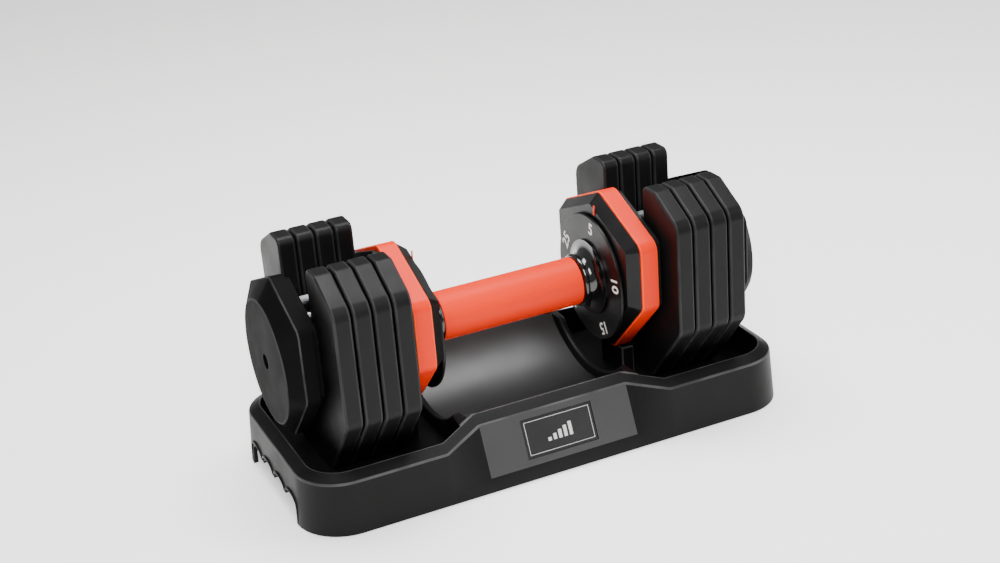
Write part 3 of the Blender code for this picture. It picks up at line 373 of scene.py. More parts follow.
# the bays: the faces inside the rim sink to the floor, then the trough's own surface fills the
# gap between them and their inner walls close up to it
rim_height = WALL_TOP + RIM_RISE - RIM_SLACK
bays = [f for f in bm.faces if abs(f.calc_center_median().x) > LIP_OUTER
        and min(v.co.z for v in f.verts) > rim_height and f.normal.z > 0.98]
sunk = {v for f in grown(bm, bays, (0.0, 0.0, 0.0)) for v in f.verts}
bay_half_width = TRAY_HALF_WIDTH - rim_inset
for vert in sunk:
    vert.co.z = TRAY_FLOOR
    vert.co.y *= 1.0 - BAY_LEAN / bay_half_width
    if abs(vert.co.x) > RAMP_END:
        vert.co.x -= math.copysign(BAY_LEAN * (abs(vert.co.x) - RAMP_END)
                                   / (TRAY_HALF_LENGTH - RAMP_END), vert.co.x)
inner_walls = [f for f in bm.faces
               if all(abs(abs(v.co.x) - LIP_OUTER) < NEAR for v in f.verts)]
bmesh.ops.delete(bm, geom=inner_walls, context="FACES_ONLY")
trough_x = sorted({x for s in stations if s <= LIP_OUTER + SAME for x in (s, -s)})
grid = bmesh.ops.create_grid(bm, x_segments=len(trough_x) - 1, y_segments=TROUGH_PARTS, size=1.0)
for vert in grid["verts"]:
    column = round((vert.co.x + 1.0) / 2.0 * (len(trough_x) - 1))
    vert.co = across_trough(trough_x[column], vert.co.y)
bmesh.ops.remove_doubles(bm, verts=bm.verts, dist=2.0 * NEAR)
for side in (-1.0, 1.0):
    ring = [e for e in bm.edges if e.is_boundary
            and all(abs(v.co.x - side * LIP_OUTER) < CLOSE for v in e.verts)]
    bmesh.ops.contextual_create(bm, geom=ring)
bmesh.ops.recalc_face_normals(bm, faces=bm.faces)


def on_rim(vert):
    """True for points of the rim's two edges."""
    x, y, z = vert.co
    inner = on_level(x, TRAY_HALF_WIDTH, 3)
    return z > WALL_TOP - CLOSE and (abs(x) > LIP_OUTER + NEAR or abs(y) > inner.y - NEAR)


rim_edges = [e for e in bm.edges if e.calc_face_angle(0.0) > RIM_EDGE_ANGLE
             and all(on_rim(v) for v in e.verts)]


def soft_edges(bm, edges, width, segments=3, clamp=True):
    """Round edges off, and note the new faces for the pale edge tone: wear and painted highlight.
    """
    rubbed = bm.faces.layers.float.get("rubbed") or bm.faces.layers.float.new("rubbed")
    made = bmesh.ops.bevel(bm, geom=edges, offset=width, offset_type="OFFSET", segments=segments,
                           profile=0.5, affect="EDGES", clamp_overlap=clamp, material=-1)["faces"]
    for face in made:
        face[rubbed] = 1.0


soft_edges(bm, rim_edges, EDGE_ROUND, clamp=False)
underside = [f for f in bm.faces if f.normal.z < -0.9
             and max(v.co.z for v in f.verts) < GROUND_CLEARANCE + NEAR]
bmesh.ops.inset_region(bm, faces=underside, thickness=TRAY_SKIN, use_even_offset=True)
for face in grown(bm, underside, (0.0, 0.0, UNDERSIDE_ROOF - GROUND_CLEARANCE)):
    for vert in face.verts:
        vert.tag = True
for vert in bm.verts:
    if vert.tag:
        vert.co.y *= UNDERSIDE_TAPER


def grained(material, grain_mm, depth_mm, rough_low, rough_high, rubbed=None, patch_mm=30.0):
    """Grain of a real size, gloss that varies in patches, and a paler edge tone: wear plus painted
    highlight.
    """
    shader = material.node_tree.nodes["Principled BSDF"]
    where = add_node(material, "TexCoord")
    grain = add_node(material, "TexNoise", {"Vector": (where, "Object"), "Scale": 1000.0 / grain_mm,
                                            "Detail": 2.0, "Roughness": 0.6})
    patches = add_node(material, "TexNoise", {"Vector": (where, "Object"),
                                              "Scale": 1000.0 / patch_mm, "Detail": 3.0})
    gloss = add_node(material, "MapRange", {"Value": (patches, "Fac"), "From Min": 0.3,
                                            "From Max": 0.7, "To Min": rough_low,
                                            "To Max": rough_high})
    bump = add_node(material, "Bump", {"Height": (grain, "Fac"), "Strength": 1.0,
                                       "Distance": depth_mm / 1000.0})
    material.node_tree.links.new(gloss.outputs["Result"], shader.inputs["Roughness"])
    material.node_tree.links.new(bump.outputs["Normal"], shader.inputs["Normal"])
    # the paler tone on the rounded edges is partly wear and partly a painted highlight along them
    if rubbed:
        edge = add_node(material, "Attribute", attribute_name="rubbed")
        share = add_node(material, "MapRange", {"Value": (patches, "Fac"), "From Min": 0.35,
                                                "From Max": 0.6, "To Min": 0.4, "To Max": 1.0})
        amount = add_node(material, "Math", {0: (edge, "Fac"), 1: (share, "Result")},
                          operation="MULTIPLY")
        base = tuple(shader.inputs["Base Color"].default_value)
        tone = add_node(material, "Mix", {0: (amount, "Value"), 6: base, 7: linear(rubbed)},
                        data_type="RGBA")
        material.node_tree.links.new(tone.outputs[2], shader.inputs["Base Color"])
    return material


# Polypropylene from a spark-eroded mould: dark grey-black, low sheen, a grain like fine sand
# (0.3 mm, drawn at 0.9 mm so that it shows).
# The last colour, a pale grey on the rounded rim and cradle edges, is a painted highlight with some
# wear.
tray_plastic = grained(new_material("polypropylene_spark_eroded", "#0B0B0B", 0.45,
                                    Specular_IOR_Level=0.12), 0.9, 0.022, 0.40, 0.52, "#454545")
# The slanted panels are textured coarser in the mould; their paler grey base is painted light, for
# their tilt up towards the lamps.
panel_painted_lighter = grained(new_material("polypropylene_panel", "#2B2B2B", 0.5,
                                     Specular_IOR_Level=0.4), 0.9, 0.030, 0.46, 0.56)
# the slanted panel's faces take the paler material, which is painted light
for face in bm.faces:
    middle_y, middle_z = face.calc_center_median().yz
    if (abs(face.normal.y) > 0.8 and face.normal.z > 0.2 and abs(middle_y) > trough_edge
            and all(abs(v.co.x) < PANEL_END + CLOSE for v in face.verts)
            and PLINTH_HEIGHT - CLOSE < middle_z < PANEL_TOP):
        face.material_index = 1
# The trough's core is polished, so its hollow draws a broad soft highlight; its paler base is
# painted light for the top-lit hollow.
trough_painted_lighter = grained(new_material("polypropylene_polished", "#161616", 0.35,
                                      Specular_IOR_Level=0.5), 0.9, 0.010, 0.38, 0.46)
# the faces of the trough's core take the glossier material with the painted-light paler base
for face in bm.faces:
    middle = face.calc_center_median()
    reach = math.hypot(middle.y, AXIS_HEIGHT - middle.z)
    if (abs(middle.x) < LIP_INNER and abs(reach - TROUGH_RADIUS) < TROUGH_TONE_SLACK
            and face.normal.z > 0.3):
        face.material_index = 2
tray = finished("tray", bm, tray_plastic, "tray", "tray_plastic", "tray_shell")
tray.data.materials.append(panel_painted_lighter)
tray.data.materials.append(trough_painted_lighter)

# Finger grips: four scallops cut up into each end wall, with a raised bead round their edge.
GRAB_HALF_WIDTH = 0.0460
GRAB_HEIGHT = 0.0120
GRAB_RIB = 0.0020
GRAB_FINGERS = 4
GRAB_BELOW = 0.0010              # the cutter reaches this far under the tray
SCALLOP_PARTS = 12
BEAD_RADIUS = 0.0012
BEAD_STANDOFF = 0.0024           # gap between the cut edge and the bead round it
BEAD_INSET = 0.00002             # keeps the bead just inside the tray's end
finger_width = 2.0 * GRAB_HALF_WIDTH / GRAB_FINGERS
scallops = []
for k in range(GRAB_FINGERS):
    middle_y = -GRAB_HALF_WIDTH + finger_width * (k + 0.5)
    for step in range(SCALLOP_PARTS + 1):
        angle = math.pi * (1.0 - step / SCALLOP_PARTS)
        scallops.append((middle_y + (finger_width - GRAB_RIB) / 2.0 * math.cos(angle),
                         GRAB_HEIGHT + (finger_width - GRAB_RIB) / 4.0 * math.sin(angle)))
grab = [(-GRAB_HALF_WIDTH, 0.0)] + scallops + [(GRAB_HALF_WIDTH, 0.0)]


def add_curve(bm, curve, place=Matrix()):
    """Add the mesh of a curve or a text to a bmesh, at its place."""
    owner = bpy.data.objects.new(curve.name, curve)
    bpy.context.scene.collection.objects.link(owner)
    mesh = bpy.data.meshes.new_from_object(
        owner.evaluated_get(bpy.context.evaluated_depsgraph_get()))
    mesh.transform(place)
    bm.from_mesh(mesh)
    bpy.data.objects.remove(owner)
    bpy.data.meshes.remove(mesh)


def upright_face(bm, corners, x, segments=6):
    """Flat face through (y, z, radius) corners, square to the grip's axis."""
    return rounded_face(bm, corners, lambda y, z: (x, y, z), segments)


for side_name, side in SIDES:
    bm = bmesh.new()
    inside = side * (TRAY_HALF_LENGTH - 2.0 * TRAY_SKIN)
    face = upright_face(bm, [(y, z if z > 0.0 else -GRAB_BELOW, 0.0) for y, z in grab], inside)
    grown(bm, [face], (side * 3.0 * TRAY_SKIN, 0.0, 0.0), keep=True)
    cut(tray, bm)
    curve = bpy.data.curves.new("bead", "CURVE")
    curve.dimensions = "3D"
    curve.bevel_depth = BEAD_RADIUS
    curve.bevel_resolution = 3
    curve.use_fill_caps = True
    spline = curve.splines.new("POLY")
    spline.points.add(len(grab) - 1)
    for point, (y, z) in zip(spline.points, grab):
        if z > 0.0:
            z += BEAD_STANDOFF
        point.co = (side * (TRAY_HALF_LENGTH - BEAD_RADIUS - BEAD_INSET),
                    y * (1.0 + BEAD_STANDOFF / GRAB_HALF_WIDTH),
                    max(z, GROUND_CLEARANCE + BEAD_RADIUS), 1.0)
    bm = bmesh.new()
    add_curve(bm, curve)
    finished(f"grab_bead_{side_name}", bm, tray_plastic, "tray", "tray_plastic")

# In each bay a cradle carries the housing's foot, and a peg on it holds the lock pin up.
CRADLE_INNER = 0.0796
CRADLE_OUTER = 0.0891
CRADLE_HALF_WIDTH = 0.0160
CRADLE_TOP = 0.0432
CRADLE_EDGE = 0.0010
PEG_RADIUS = 0.0018
PEG_PLACE = 0.0855
PEG_TOP = 0.0480
SINK = 0.0004                    # how deep moulded-on shapes reach into the tray's floor
for side_name, side in SIDES:
    bm = bmesh.new()
    block = bmesh.ops.create_cube(bm, size=1.0)["verts"]
    for vert in block:
        vert.co = Vector((side * mixed(CRADLE_INNER, CRADLE_OUTER, vert.co.x + 0.5),
                          2.0 * CRADLE_HALF_WIDTH * vert.co.y,
                          mixed(TRAY_FLOOR - SINK, CRADLE_TOP, vert.co.z + 0.5)))
    soft_edges(bm, [e for e in bm.edges if max(v.co.z for v in e.verts) > CRADLE_TOP - SAME],
               CRADLE_EDGE)
    peg = bmesh.ops.create_cone(bm, cap_ends=True, segments=24, radius1=PEG_RADIUS,
                                radius2=PEG_RADIUS, depth=PEG_TOP - CRADLE_TOP + SINK)["verts"]
    bmesh.ops.translate(bm, verts=peg, vec=(side * PEG_PLACE, 0.0,
                                            (PEG_TOP + CRADLE_TOP - SINK) / 2.0))
    soft_edges(bm, [e for e in bm.edges if all(abs(v.co.z - PEG_TOP) < SAME for v in e.verts)],
               CRADLE_EDGE / 2.0)
    finished(f"cradle_{side_name}", bm, tray_plastic, "tray", "tray_plastic")

# ------------------------------------------------------------------ label
# A thin plate clipped into a recess of the slanted front panel.  It carries no words, only a
# fine border and five rising bars for the five settings, printed in grey.
LABEL_HALF_LENGTH = 0.0260
LABEL_HALF_HEIGHT = 0.0130
LABEL_THICKNESS = 0.0010
LABEL_EDGE = 0.0002
RECESS_DEPTH = 0.0016
RECESS_GAP = 0.0003
RECESS_CLEAR = 0.0040            # the recess's cutter stands out of the panel
panel_foot = Vector((0.0, -(TRAY_HALF_WIDTH - plinth_inset), PLINTH_HEIGHT))
panel_head = Vector((0.0, -(trough_edge + RIM_WIDTH), PANEL_TOP))
panel_up = (panel_head - panel_foot).normalized()
panel_out = Vector((0.0, -panel_up.z, panel_up.y))
panel_middle = (panel_foot + panel_head) / 2.0


def panel_block(bm, left, right, low, high, bottom, top):
    """Add a block that lies on the panel; sizes along it, up it and out from it."""
    made = bmesh.ops.create_cube(bm, size=1.0)["verts"]
    for vert in made:
        across = mixed(left, right, vert.co.x + 0.5)
        up = mixed(low, high, vert.co.y + 0.5)
        out = mixed(bottom, top, vert.co.z + 0.5)
        vert.co = panel_middle + Vector((across, 0.0, 0.0)) + panel_up * up + panel_out * out
    return made


bm = bmesh.new()
panel_block(bm, -LABEL_HALF_LENGTH - RECESS_GAP, LABEL_HALF_LENGTH + RECESS_GAP,
            -LABEL_HALF_HEIGHT - RECESS_GAP, LABEL_HALF_HEIGHT + RECESS_GAP, -RECESS_DEPTH,
            RECESS_CLEAR)
cut(tray, bm)
# Polycarbonate film plate: dark, smoother than the tray around it.
label_film = grained(new_material("polycarbonate_film", "#1A1A1B", 0.35), 1.2, 0.004, 0.30, 0.38)
bm = bmesh.new()
panel_block(bm, -LABEL_HALF_LENGTH, LABEL_HALF_LENGTH, -LABEL_HALF_HEIGHT, LABEL_HALF_HEIGHT,
            -RECESS_GAP - LABEL_THICKNESS, -RECESS_GAP)
soft_edges(bm, bm.edges[:], LABEL_EDGE, 2)
finished("label", bm, label_film, "tray", "label_plate", "label_plate")
# Silk-screened grey ink.
grey_ink = grained(new_material("screen_ink_grey", "#B9B9B7", 0.5), 0.8, 0.004, 0.45, 0.55)
bm = bmesh.new()
PRINT_SINK = 0.00005             # the print reaches into the label, so that no gap shows
PRINT_RISE = 0.00006
ink = (-RECESS_GAP - PRINT_SINK, -RECESS_GAP + PRINT_RISE)
BARS = 5
BAR_WIDTH = 0.0024
BAR_PITCH = 0.0040
BAR_FOOT = -0.0050               # from the panel's middle, as is the first bar's top
BAR_FIRST_TOP = -0.0026
BAR_RISE = 0.0017
BORDER_HALF_LENGTH = 0.0242
BORDER_HALF_HEIGHT = 0.0112
BORDER_WIDTH = 0.0003
for k in range(BARS):
    left = (k - BARS // 2) * BAR_PITCH - BAR_WIDTH / 2.0
    panel_block(bm, left, left + BAR_WIDTH, BAR_FOOT, BAR_FIRST_TOP + k * BAR_RISE, *ink)
for edge in (-1.0, 1.0):
    line = sorted((edge * BORDER_HALF_LENGTH, edge * (BORDER_HALF_LENGTH - BORDER_WIDTH)))
    panel_block(bm, *line, -BORDER_HALF_HEIGHT, BORDER_HALF_HEIGHT, *ink)
    line = sorted((edge * BORDER_HALF_HEIGHT, edge * (BORDER_HALF_HEIGHT - BORDER_WIDTH)))
    inner = BORDER_HALF_LENGTH - BORDER_WIDTH
    panel_block(bm, -inner, inner, *line, *ink)
finished("label_bars", bm, grey_ink, "tray", "label_plate")

# ------------------------------------------------------------------ plates
# Eight weight plates of cast iron in a black nylon shell.  Each is a U: two arms with sloping
# shoulders beside the slot for the selector, and a foot that narrows into the tray's bay.
PLATE_FOOT_HALF = 0.0300
PLATE_FLANK_END = AXIS_HEIGHT - 0.0250
PLATE_SHOULDER = AXIS_HEIGHT + 0.0540
PLATE_ARM_CORNER = 0.0440
PLATE_CORNER = 0.0110
PLATE_ARM_ROUND = 0.0055
SLOT_HALF_WIDTH = 0.0270
SLOT_ROUND = 0.0269
PLATE_EDGE = 0.0016
HOOK_HALF_WIDTH = 0.0050
HOOK_EDGE = 0.0004
HOOK = ((0.0093, -0.0290), (0.0115, -0.0290), (0.0115, -0.0140), (0.0050, -0.0140),
        (0.0050, -0.0186), (0.0093, -0.0186))      # out from the inner face, up from the axis
# Nylon shell over iron: satin black with a fine pebble (0.4 mm, drawn at 1 mm) that breaks up
# the sheen along the flanks.
# The last colour, a dark grey on the rounded plate and hook edges, is a painted highlight with some
# wear.
plate_shell = grained(new_material("nylon_shell_satin", "#0B0B0B", 0.45, Specular_IOR_Level=0.14),
                      1.0, 0.016, 0.40, 0.52, "#262627")

half = [(PLATE_FOOT_HALF, plate_low.z, PLATE_CORNER),
        (plate_high.y, PLATE_FLANK_END, PLATE_CORNER),
        (plate_high.y, PLATE_SHOULDER, PLATE_CORNER),
        (PLATE_ARM_CORNER, plate_high.z, PLATE_ARM_ROUND),
        (SLOT_HALF_WIDTH, plate_high.z, PLATE_ARM_ROUND),
        (SLOT_HALF_WIDTH, AXIS_HEIGHT - SLOT_HALF_WIDTH, SLOT_ROUND)]
plate_corners = half + [(-y, z, radius) for y, z, radius in reversed(half)]


def ends_of(node, side):
    """Places along the grip of a CAD node's inner and outer end."""
    low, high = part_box(node)
    return (high.x, low.x) if side < 0.0 else (low.x, high.x)


for side_name, side in SIDES:
    for number in range(1, 5):
        node = f"plate_{side_name}_{number}"
        inner_x, outer_x = ends_of(node, side)
        bm = bmesh.new()
        face = upright_face(bm, plate_corners, inner_x, segments=10)
        grown(bm, [face], (outer_x - inner_x, 0.0, 0.0), keep=True)
        soft_edges(bm, [e for e in bm.edges if abs(e.verts[0].co.x - e.verts[1].co.x) < SAME],
                   PLATE_EDGE, 4)
        finished(f"weight_{side_name}_{number}", bm, plate_shell, f"plate_pair_{number}",
                 "plate_coating", node)
        bm = bmesh.new()
        hook = [bm.verts.new((inner_x + side * out, -HOOK_HALF_WIDTH, AXIS_HEIGHT + up))
                for out, up in HOOK]
        grown(bm, [bm.faces.new(hook)], (0.0, 2.0 * HOOK_HALF_WIDTH, 0.0), keep=True)
        soft_edges(bm, bm.edges[:], HOOK_EDGE)
        finished(f"hook_{side_name}_{number}", bm, plate_shell, f"plate_pair_{number}",
                 "plate_coating")

# ------------------------------------------------------------------ housings
# On each side of the grip a hexagonal cup in satin black ABS with a broad chamfer, and over its
# skirt a hexagonal band in orange ABS, pressed on.  Tie bolts join it to the end cap.
CAGE_CORNER = 0.0070
CAGE_HALF_WIDTH = 0.0550
CAGE_FOOT_HALF = 0.0110
CAGE_TOP = AXIS_HEIGHT + 0.0605
CAGE_SHOULDER = AXIS_HEIGHT + 0.0380
CAGE_FLANK_END = AXIS_HEIGHT - 0.0080
CAGE_BOTTOM = AXIS_HEIGHT - 0.0520
BAND_PROUD = 0.0015
BAND_THICKNESS = 0.0070
CHAMFER = 0.0060
CHAMFER_DEPTH = 0.0075
FRONT_WALL = 0.0040
FRONT_EDGE = 0.0006
BAND_EDGE = 0.0009
BAND_EDGE_ANGLE = 1.0            # radians; the outline's own corners turn less
SKIRT_SCALE = 0.87
CUP_SCALE = 0.81
DIAL_BORE = 0.0175
PIN_BORE = 0.0023
PIN_SETBACK = 0.0036
PIN_BORE_START = CAGE_BOTTOM - 0.0040
HOUSING_PIN_TOP = AXIS_HEIGHT - 0.0250
BAND_PIN_TOP = AXIS_HEIGHT - 0.0400
DIAL_BORE_DEPTH = 0.0100
DRILL_START = 0.0020             # how far outside a piece the drill starts
SLIVER = 0.0001                  # first step of a face that is then drawn to its real place
OUTLINE_POINTS = 20              # only the outline's own face has more points than this
# Injection-moulded ABS, fine satin: black, evenly lit, a faint orange-peel grain.
# The last colour, a dark grey on the rounded front edges, is a painted highlight with some wear.
satin_abs = grained(new_material("abs_black_satin", "#0A0A0A", 0.35, Specular_IOR_Level=0.2),
                    1.4, 0.010, 0.30, 0.42, "#2E2E2F")
# The same in orange: saturated, a soft broad highlight.
# The last colour, a paler orange on the band's rounded edges, is a painted highlight with some
# wear.
orange_abs = grained(new_material("abs_orange_satin", "#DA2600", 0.38,
                                  Specular_IOR_Level=0.12), 1.4, 0.010, 0.34, 0.44, "#F0501C")


def hexagon(half_width, top_z, shoulder, flank_end, bottom, corner, proud=0.0):
    """Corners of an upright hexagon with a narrow foot."""
    half = [(CAGE_FOOT_HALF * (1.0 + proud / half_width), bottom - proud, corner / 2.0),
            (half_width + proud, flank_end, corner), (half_width + proud, shoulder, corner)]
    return half + [(0.0, top_z + proud, corner)] + [(-y, z, r) for y, z, r in reversed(half)]


def bored(piece, radius, start, end, upright_at=None):
    """Drill a round hole through a piece: along the grip's axis, or upright at a place on it."""
    drill = bmesh.new()
    made = bmesh.ops.create_cone(drill, cap_ends=True, segments=40, radius1=radius,
                                 radius2=radius, depth=abs(end - start))["verts"]
    place = (upright_at, 0.0, (start + end) / 2.0)
    if upright_at is None:
        bmesh.ops.rotate(drill, verts=made, matrix=Matrix.Rotation(math.pi / 2.0, 3, "Y"))
        place = ((start + end) / 2.0, 0.0, AXIS_HEIGHT)
    bmesh.ops.translate(drill, verts=made, vec=place)
    cut(piece, drill)


def edges_at(bm, x):
    """Edges whose both ends lie in the plane at x."""
    return [e for e in bm.edges if all(abs(v.co.x - x) < SAME for v in e.verts)]


def scaled(verts, scale):
    """Draw points towards the grip's axis."""
    for vert in verts:
        vert.co.y *= scale
        vert.co.z = AXIS_HEIGHT + (vert.co.z - AXIS_HEIGHT) * scale


cage = (CAGE_HALF_WIDTH, CAGE_TOP, CAGE_SHOULDER, CAGE_FLANK_END, CAGE_BOTTOM)
for side_name, side in SIDES:
    front_x, rear_x = ends_of("housing_" + side_name, side)
    rim_x = front_x + side * CHAMFER_DEPTH
    pin_x = rear_x - side * PIN_SETBACK
    bm = bmesh.new()
    face = upright_face(bm, hexagon(*cage, CAGE_CORNER), rim_x)
    front = grown(bm, [face], (-side * SLIVER, 0.0, 0.0), keep=True)
    bmesh.ops.recalc_face_normals(bm, faces=bm.faces)
    bmesh.ops.inset_region(bm, faces=front, thickness=CHAMFER, depth=CHAMFER_DEPTH - SLIVER,
                           use_even_offset=True)
    back_face = next(f for f in bm.faces if len(f.verts) > OUTLINE_POINTS
                     and all(abs(v.co.x - rim_x) < SAME for v in f.verts))
    bmesh.ops.inset_region(bm, faces=[back_face], thickness=SLIVER)
    scaled(back_face.verts, SKIRT_SCALE)
    skirt_end = grown(bm, [back_face], (rear_x - rim_x, 0.0, 0.0))
    bmesh.ops.inset_region(bm, faces=skirt_end, thickness=SLIVER)
    scaled({v for f in skirt_end for v in f.verts}, CUP_SCALE / SKIRT_SCALE)
    grown(bm, skirt_end, (front_x + side * FRONT_WALL - rear_x, 0.0, 0.0))
    soft_edges(bm, edges_at(bm, front_x), FRONT_EDGE)
    bmesh.ops.remove_doubles(bm, verts=bm.verts, dist=NEAR)
    housing = finished(f"housing_shell_{side_name}", bm, satin_abs, "cage", "black_plastic",
                       "housing_" + side_name)
    bored(housing, DIAL_BORE, front_x - side * DRILL_START, front_x + side * DIAL_BORE_DEPTH)
    bored(housing, PIN_BORE, PIN_BORE_START, HOUSING_PIN_TOP, pin_x)

    bm = bmesh.new()
    inner_x, outer_x = ends_of("band_" + side_name, side)
    face = upright_face(bm, hexagon(*cage, CAGE_CORNER + BAND_PROUD, BAND_PROUD), inner_x)
    bmesh.ops.inset_region(bm, faces=[face], thickness=BAND_THICKNESS, use_even_offset=True,
                           use_boundary=True)
    bmesh.ops.delete(bm, geom=[face], context="FACES_ONLY")
    grown(bm, bm.faces[:], (outer_x - inner_x, 0.0, 0.0), keep=True)
    bmesh.ops.recalc_face_normals(bm, faces=bm.faces)
    soft_edges(bm, [e for x in (inner_x, outer_x) for e in edges_at(bm, x)
                    if e.calc_face_angle(0.0) > BAND_EDGE_ANGLE], BAND_EDGE)
    band = finished(f"orange_band_{side_name}", bm, orange_abs, "cage", "orange_plastic",
                    "band_" + side_name)
    bored(band, PIN_BORE, PIN_BORE_START, BAND_PIN_TOP, pin_x)

# ------------------------------------------------------------------ end caps
# A hexagonal cap closes each stack: a thin back layer set in all round, a rim, then a broad
# chamfer up to a large round face with the bore for the screw that holds the shaft.
CAP_HALF_WIDTH = 0.0500
CAP_TOP = AXIS_HEIGHT + 0.0580
CAP_SHOULDER = AXIS_HEIGHT + 0.0370
CAP_FLANK_END = AXIS_HEIGHT - 0.0120
CAP_BOTTOM = AXIS_HEIGHT - 0.0520
CAP_CORNER = 0.0070
CAP_BACK_LAYER = 0.0040
CAP_BACK_INSET = 0.0030
CAP_RIM_DEPTH = 0.0092
CAP_RIM_EDGE = 0.0007
CAP_FACE_EDGE = 0.0009
CAP_FACE_RADIUS = 0.0420
CAP_HOLE_RADIUS = 0.0053
CAP_BUSH_RADIUS = 0.0090
CAP_SEAT_DEPTH = 0.0030
CAP_DRILL_OVERLAP = 0.0010
FACET = 0.0060                   # longest facet along the outline before it turns into a circle
# The caps' mould is bead-blasted: nearly matt, so the face stays dark seen along it.
# The last colour, a grey on the caps' rounded rim and face edges, is a painted highlight with some
# wear.
matt_abs = grained(new_material("abs_black_blasted", "#0B0B0B", 0.55, Specular_IOR_Level=0.02),
                   1.0, 0.014, 0.50, 0.62, "#39393A")
for side_name, side in SIDES:
    back_x, face_x = ends_of("end_cap_" + side_name, side)
    front_x = back_x + side * CAP_BACK_LAYER
    bm = bmesh.new()
    outline = hexagon(CAP_HALF_WIDTH, CAP_TOP, CAP_SHOULDER, CAP_FLANK_END, CAP_BOTTOM, CAP_CORNER)
    face = upright_face(bm, outline, front_x, segments=8)
    while max(e.calc_length() for e in bm.edges) > FACET:
        bmesh.ops.subdivide_edges(bm, cuts=1, edges=[e for e in bm.edges
                                                     if e.calc_length() > FACET])
    rim = grown(bm, [face], (side * CAP_RIM_DEPTH, 0.0, 0.0), keep=True)
    face_shift = face_x - front_x - side * CAP_RIM_DEPTH
    disc = grown(bm, rim, (face_shift, 0.0, 0.0))
    for vert in {v for f in disc for v in f.verts}:
        away = Vector((vert.co.y, vert.co.z - AXIS_HEIGHT)).normalized() * CAP_FACE_RADIUS
        vert.co.y, vert.co.z = away.x, AXIS_HEIGHT + away.y
    bmesh.ops.recalc_face_normals(bm, faces=bm.faces)
    bmesh.ops.inset_region(bm, faces=[face], thickness=CAP_BACK_INSET, use_even_offset=True)
    grown(bm, [face], (-side * CAP_BACK_LAYER, 0.0, 0.0))
    soft_edges(bm, edges_at(bm, front_x + side * CAP_RIM_DEPTH), CAP_RIM_EDGE)
    soft_edges(bm, edges_at(bm, face_x), CAP_FACE_EDGE)
    cap = finished(f"cap_{side_name}", bm, matt_abs, "cage", "black_plastic",
                   "end_cap_" + side_name)
    seat = front_x + side * (CAP_RIM_DEPTH - CAP_SEAT_DEPTH)
    bored(cap, CAP_BUSH_RADIUS, back_x - side * DRILL_START, seat)
    bored(cap, CAP_HOLE_RADIUS, seat - side * CAP_DRILL_OVERLAP, face_x + side * DRILL_START)

# ------------------------------------------------------------------ necks
# A gloss black ABS collar at each end of the grip: a round bead, a short waist, and a concave
# flare that runs out to a thin rim against the dial.
NECK_BEAD = 0.0020
NECK_PROUD = 0.0018
NECK_WAIST_PROUD = 0.0002
NECK_FLARE_PROUD = 0.0100
NECK_RIM = 0.0014
NECK_BEAD_PARTS = 12
NECK_FLARE_PARTS = 16
TURN_STEPS = 96
FIT = 0.0003                     # running fit between pieces that turn together
GRIP_RADIUS = grip_high.y
tube_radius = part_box("handle_tube")[1].y


def turned(profile, steps=TURN_STEPS):
    """Closed profile of (x, radius) points turned about the grip's axis."""
    bm = bmesh.new()
    verts = [bm.verts.new((x, 0.0, AXIS_HEIGHT + radius)) for x, radius in profile]
    edges = [bm.edges.new((verts[i - 1], vert)) for i, vert in enumerate(verts)]
    bmesh.ops.spin(bm, geom=verts + edges, cent=(0.0, 0.0, AXIS_HEIGHT), axis=(1.0, 0.0, 0.0),
                   angle=math.tau, steps=steps, use_merge=True, use_duplicate=False)
    return bm


# Polished ABS: deep black with sharp reflections, a few soft swirls from wiping.
gloss_abs = grained(new_material("abs_polished", "#0B0B0C", 0.12, Coat_Weight=0.5,
                                 Coat_Roughness=0.06), 6.0, 0.010, 0.08, 0.16)
for side_name, side in SIDES:
    start, end = (side * x for x in ends_of("neck_" + side_name, side))
    bead_angles = [math.pi * k / NECK_BEAD_PARTS for k in range(NECK_BEAD_PARTS + 1)]
    bead = [(start + NECK_BEAD - NECK_BEAD * math.cos(angle),
             GRIP_RADIUS + NECK_PROUD - NECK_BEAD + NECK_BEAD * math.sin(angle))
            for angle in bead_angles]
    flare_start = start + 2.0 * NECK_BEAD
    run = end - NECK_RIM - flare_start
    rise = NECK_FLARE_PROUD - NECK_WAIST_PROUD
    flare_angles = [math.pi / 2.0 * k / NECK_FLARE_PARTS for k in range(NECK_FLARE_PARTS + 1)]
    flare = [(flare_start + run * math.sin(angle),
              GRIP_RADIUS + NECK_FLARE_PROUD - rise * math.cos(angle)) for angle in flare_angles]
    rim = [(end, GRIP_RADIUS + NECK_FLARE_PROUD)]
    bore = [(end, tube_radius + FIT), (start, tube_radius + FIT)]
    finished(f"collar_{side_name}", turned([(side * x, r) for x, r in bead + flare + rim + bore]),
             gloss_abs, "rotor", "gloss_black", "neck_" + side_name)

# ------------------------------------------------------------------ dials
# A thin black disc turns with the grip in front of each housing.  Five white numerals, one for
# each setting, are pad-printed round its face towards the grip.
DIAL_EDGE = 0.0007
ROUND_SHARE = 0.3                # how far in the middle point of a rounded edge lies
NUMERAL_SIZE = 0.0122
NUMERAL_RADIUS = 0.0372
NUMERAL_WEIGHT = 0.0002          # how far the strokes are thickened
INK = 0.00006
NUMERALS = (("5", 98.0), ("10", 170.0), ("15", 242.0), ("20", 314.0), ("25", 26.0))
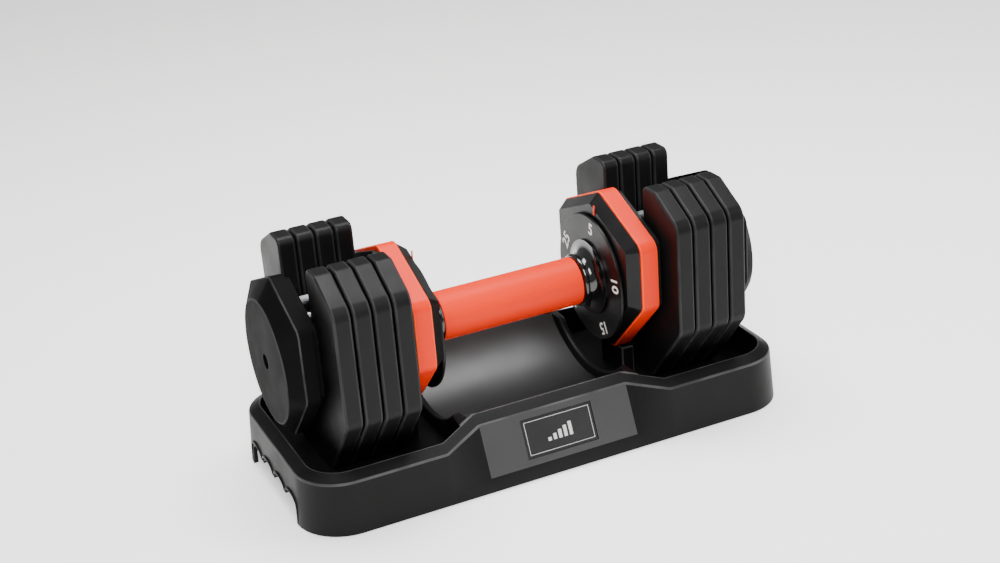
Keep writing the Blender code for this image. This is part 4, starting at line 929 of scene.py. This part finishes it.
# Ink: flat white, slightly warm.
white_ink = grained(new_material("pad_print_white", "#F2F2EE", 0.5), 0.8, 0.003, 0.45, 0.55)
for side_name, side in SIDES:
    start, end = (side * x for x in ends_of("dial_" + side_name, side))
    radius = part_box("dial_" + side_name)[1].y
    inner = tube_radius + FIT
    profile = [(start, inner), (start, radius - DIAL_EDGE),
               (start + DIAL_EDGE * ROUND_SHARE, radius - DIAL_EDGE * ROUND_SHARE),
               (start + DIAL_EDGE, radius), (end - DIAL_EDGE, radius),
               (end, radius - DIAL_EDGE), (end, inner)]
    finished(f"dial_disc_{side_name}", turned([(side * x, r) for x, r in profile]), satin_abs,
             "rotor", "black_plastic", "dial_" + side_name)
    bm = bmesh.new()
    for digits, degrees in NUMERALS:
        text = bpy.data.curves.new("numeral", "FONT")
        text.body = digits
        text.size = NUMERAL_SIZE
        text.align_x = "CENTER"
        text.align_y = "CENTER"
        text.offset = NUMERAL_WEIGHT
        text.extrude = INK
        text.resolution_u = 4
        angle = math.radians(degrees)
        up = Vector((0.0, math.cos(angle), math.sin(angle)))
        out = Vector((-side, 0.0, 0.0))
        along = up.cross(out)
        place = Matrix((along, up, out)).transposed().to_4x4()
        place.translation = Vector((side * start, 0.0, AXIS_HEIGHT)) + up * NUMERAL_RADIUS
        add_curve(bm, text, place)
    finished(f"numerals_{side_name}", bm, white_ink, "rotor", "black_plastic")

# ------------------------------------------------------------------ grip
# An orange TPE sleeve pressed over the steel tube, plain and smooth, its ends slightly rounded
# where they meet the collars.  Turning it sets the weight.
GRIP_END_ROUND = 0.0008
# Thermoplastic rubber: saturated orange, a broad soft sheen, a fine matt from the mould.
orange_rubber = grained(new_material("tpe_orange", "#DE2A00", 0.45, Specular_IOR_Level=0.12),
                        0.9, 0.010, 0.40, 0.50)
half_length = grip_high.x
half = [(half_length, tube_radius + FIT), (half_length, GRIP_RADIUS - GRIP_END_ROUND),
        (half_length - GRIP_END_ROUND * ROUND_SHARE, GRIP_RADIUS - GRIP_END_ROUND * ROUND_SHARE),
        (half_length - GRIP_END_ROUND, GRIP_RADIUS)]
bm = turned(half + [(-x, radius) for x, radius in reversed(half)])
finished("grip", bm, orange_rubber, "rotor", "orange_grip", "grip_sleeve")

# ------------------------------------------------------------------ works
# Pieces whose shape is already right keep it and get their finish here: zinc plated steel rods,
# springs and screws, dark nylon discs and bushes, rubber feet, and the moulded covers and ticks.
zinc_steel = grained(new_material("steel_zinc_plated", "#B4B6B8", 0.35, Metallic=1.0),
                     0.8, 0.006, 0.25, 0.40)
nylon = grained(new_material("nylon_dark_grey", "#3A3A3C", 0.45), 1.2, 0.012, 0.40, 0.52)
rubber = grained(new_material("rubber_matt_black", "#141414", 0.8), 0.8, 0.030, 0.70, 0.85)
KEPT = {"back_cover": satin_abs, "pointer": orange_abs, "housing_bush": nylon, "cap_bush": nylon,
        "selector": nylon, "tray_foot": rubber, "tie_bolt": zinc_steel, "lock_spring": zinc_steel,
        "lock_pin": zinc_steel, "index_ring": zinc_steel, "end_screw": zinc_steel,
        "end_washer": zinc_steel, "handle_tube": zinc_steel, "through_shaft": zinc_steel}
for node in bpy.data.objects:
    for start, material in KEPT.items():
        if node.type == "MESH" and node.name.startswith(start):
            for material_slot in node.material_slots:
                material_slot.material = material
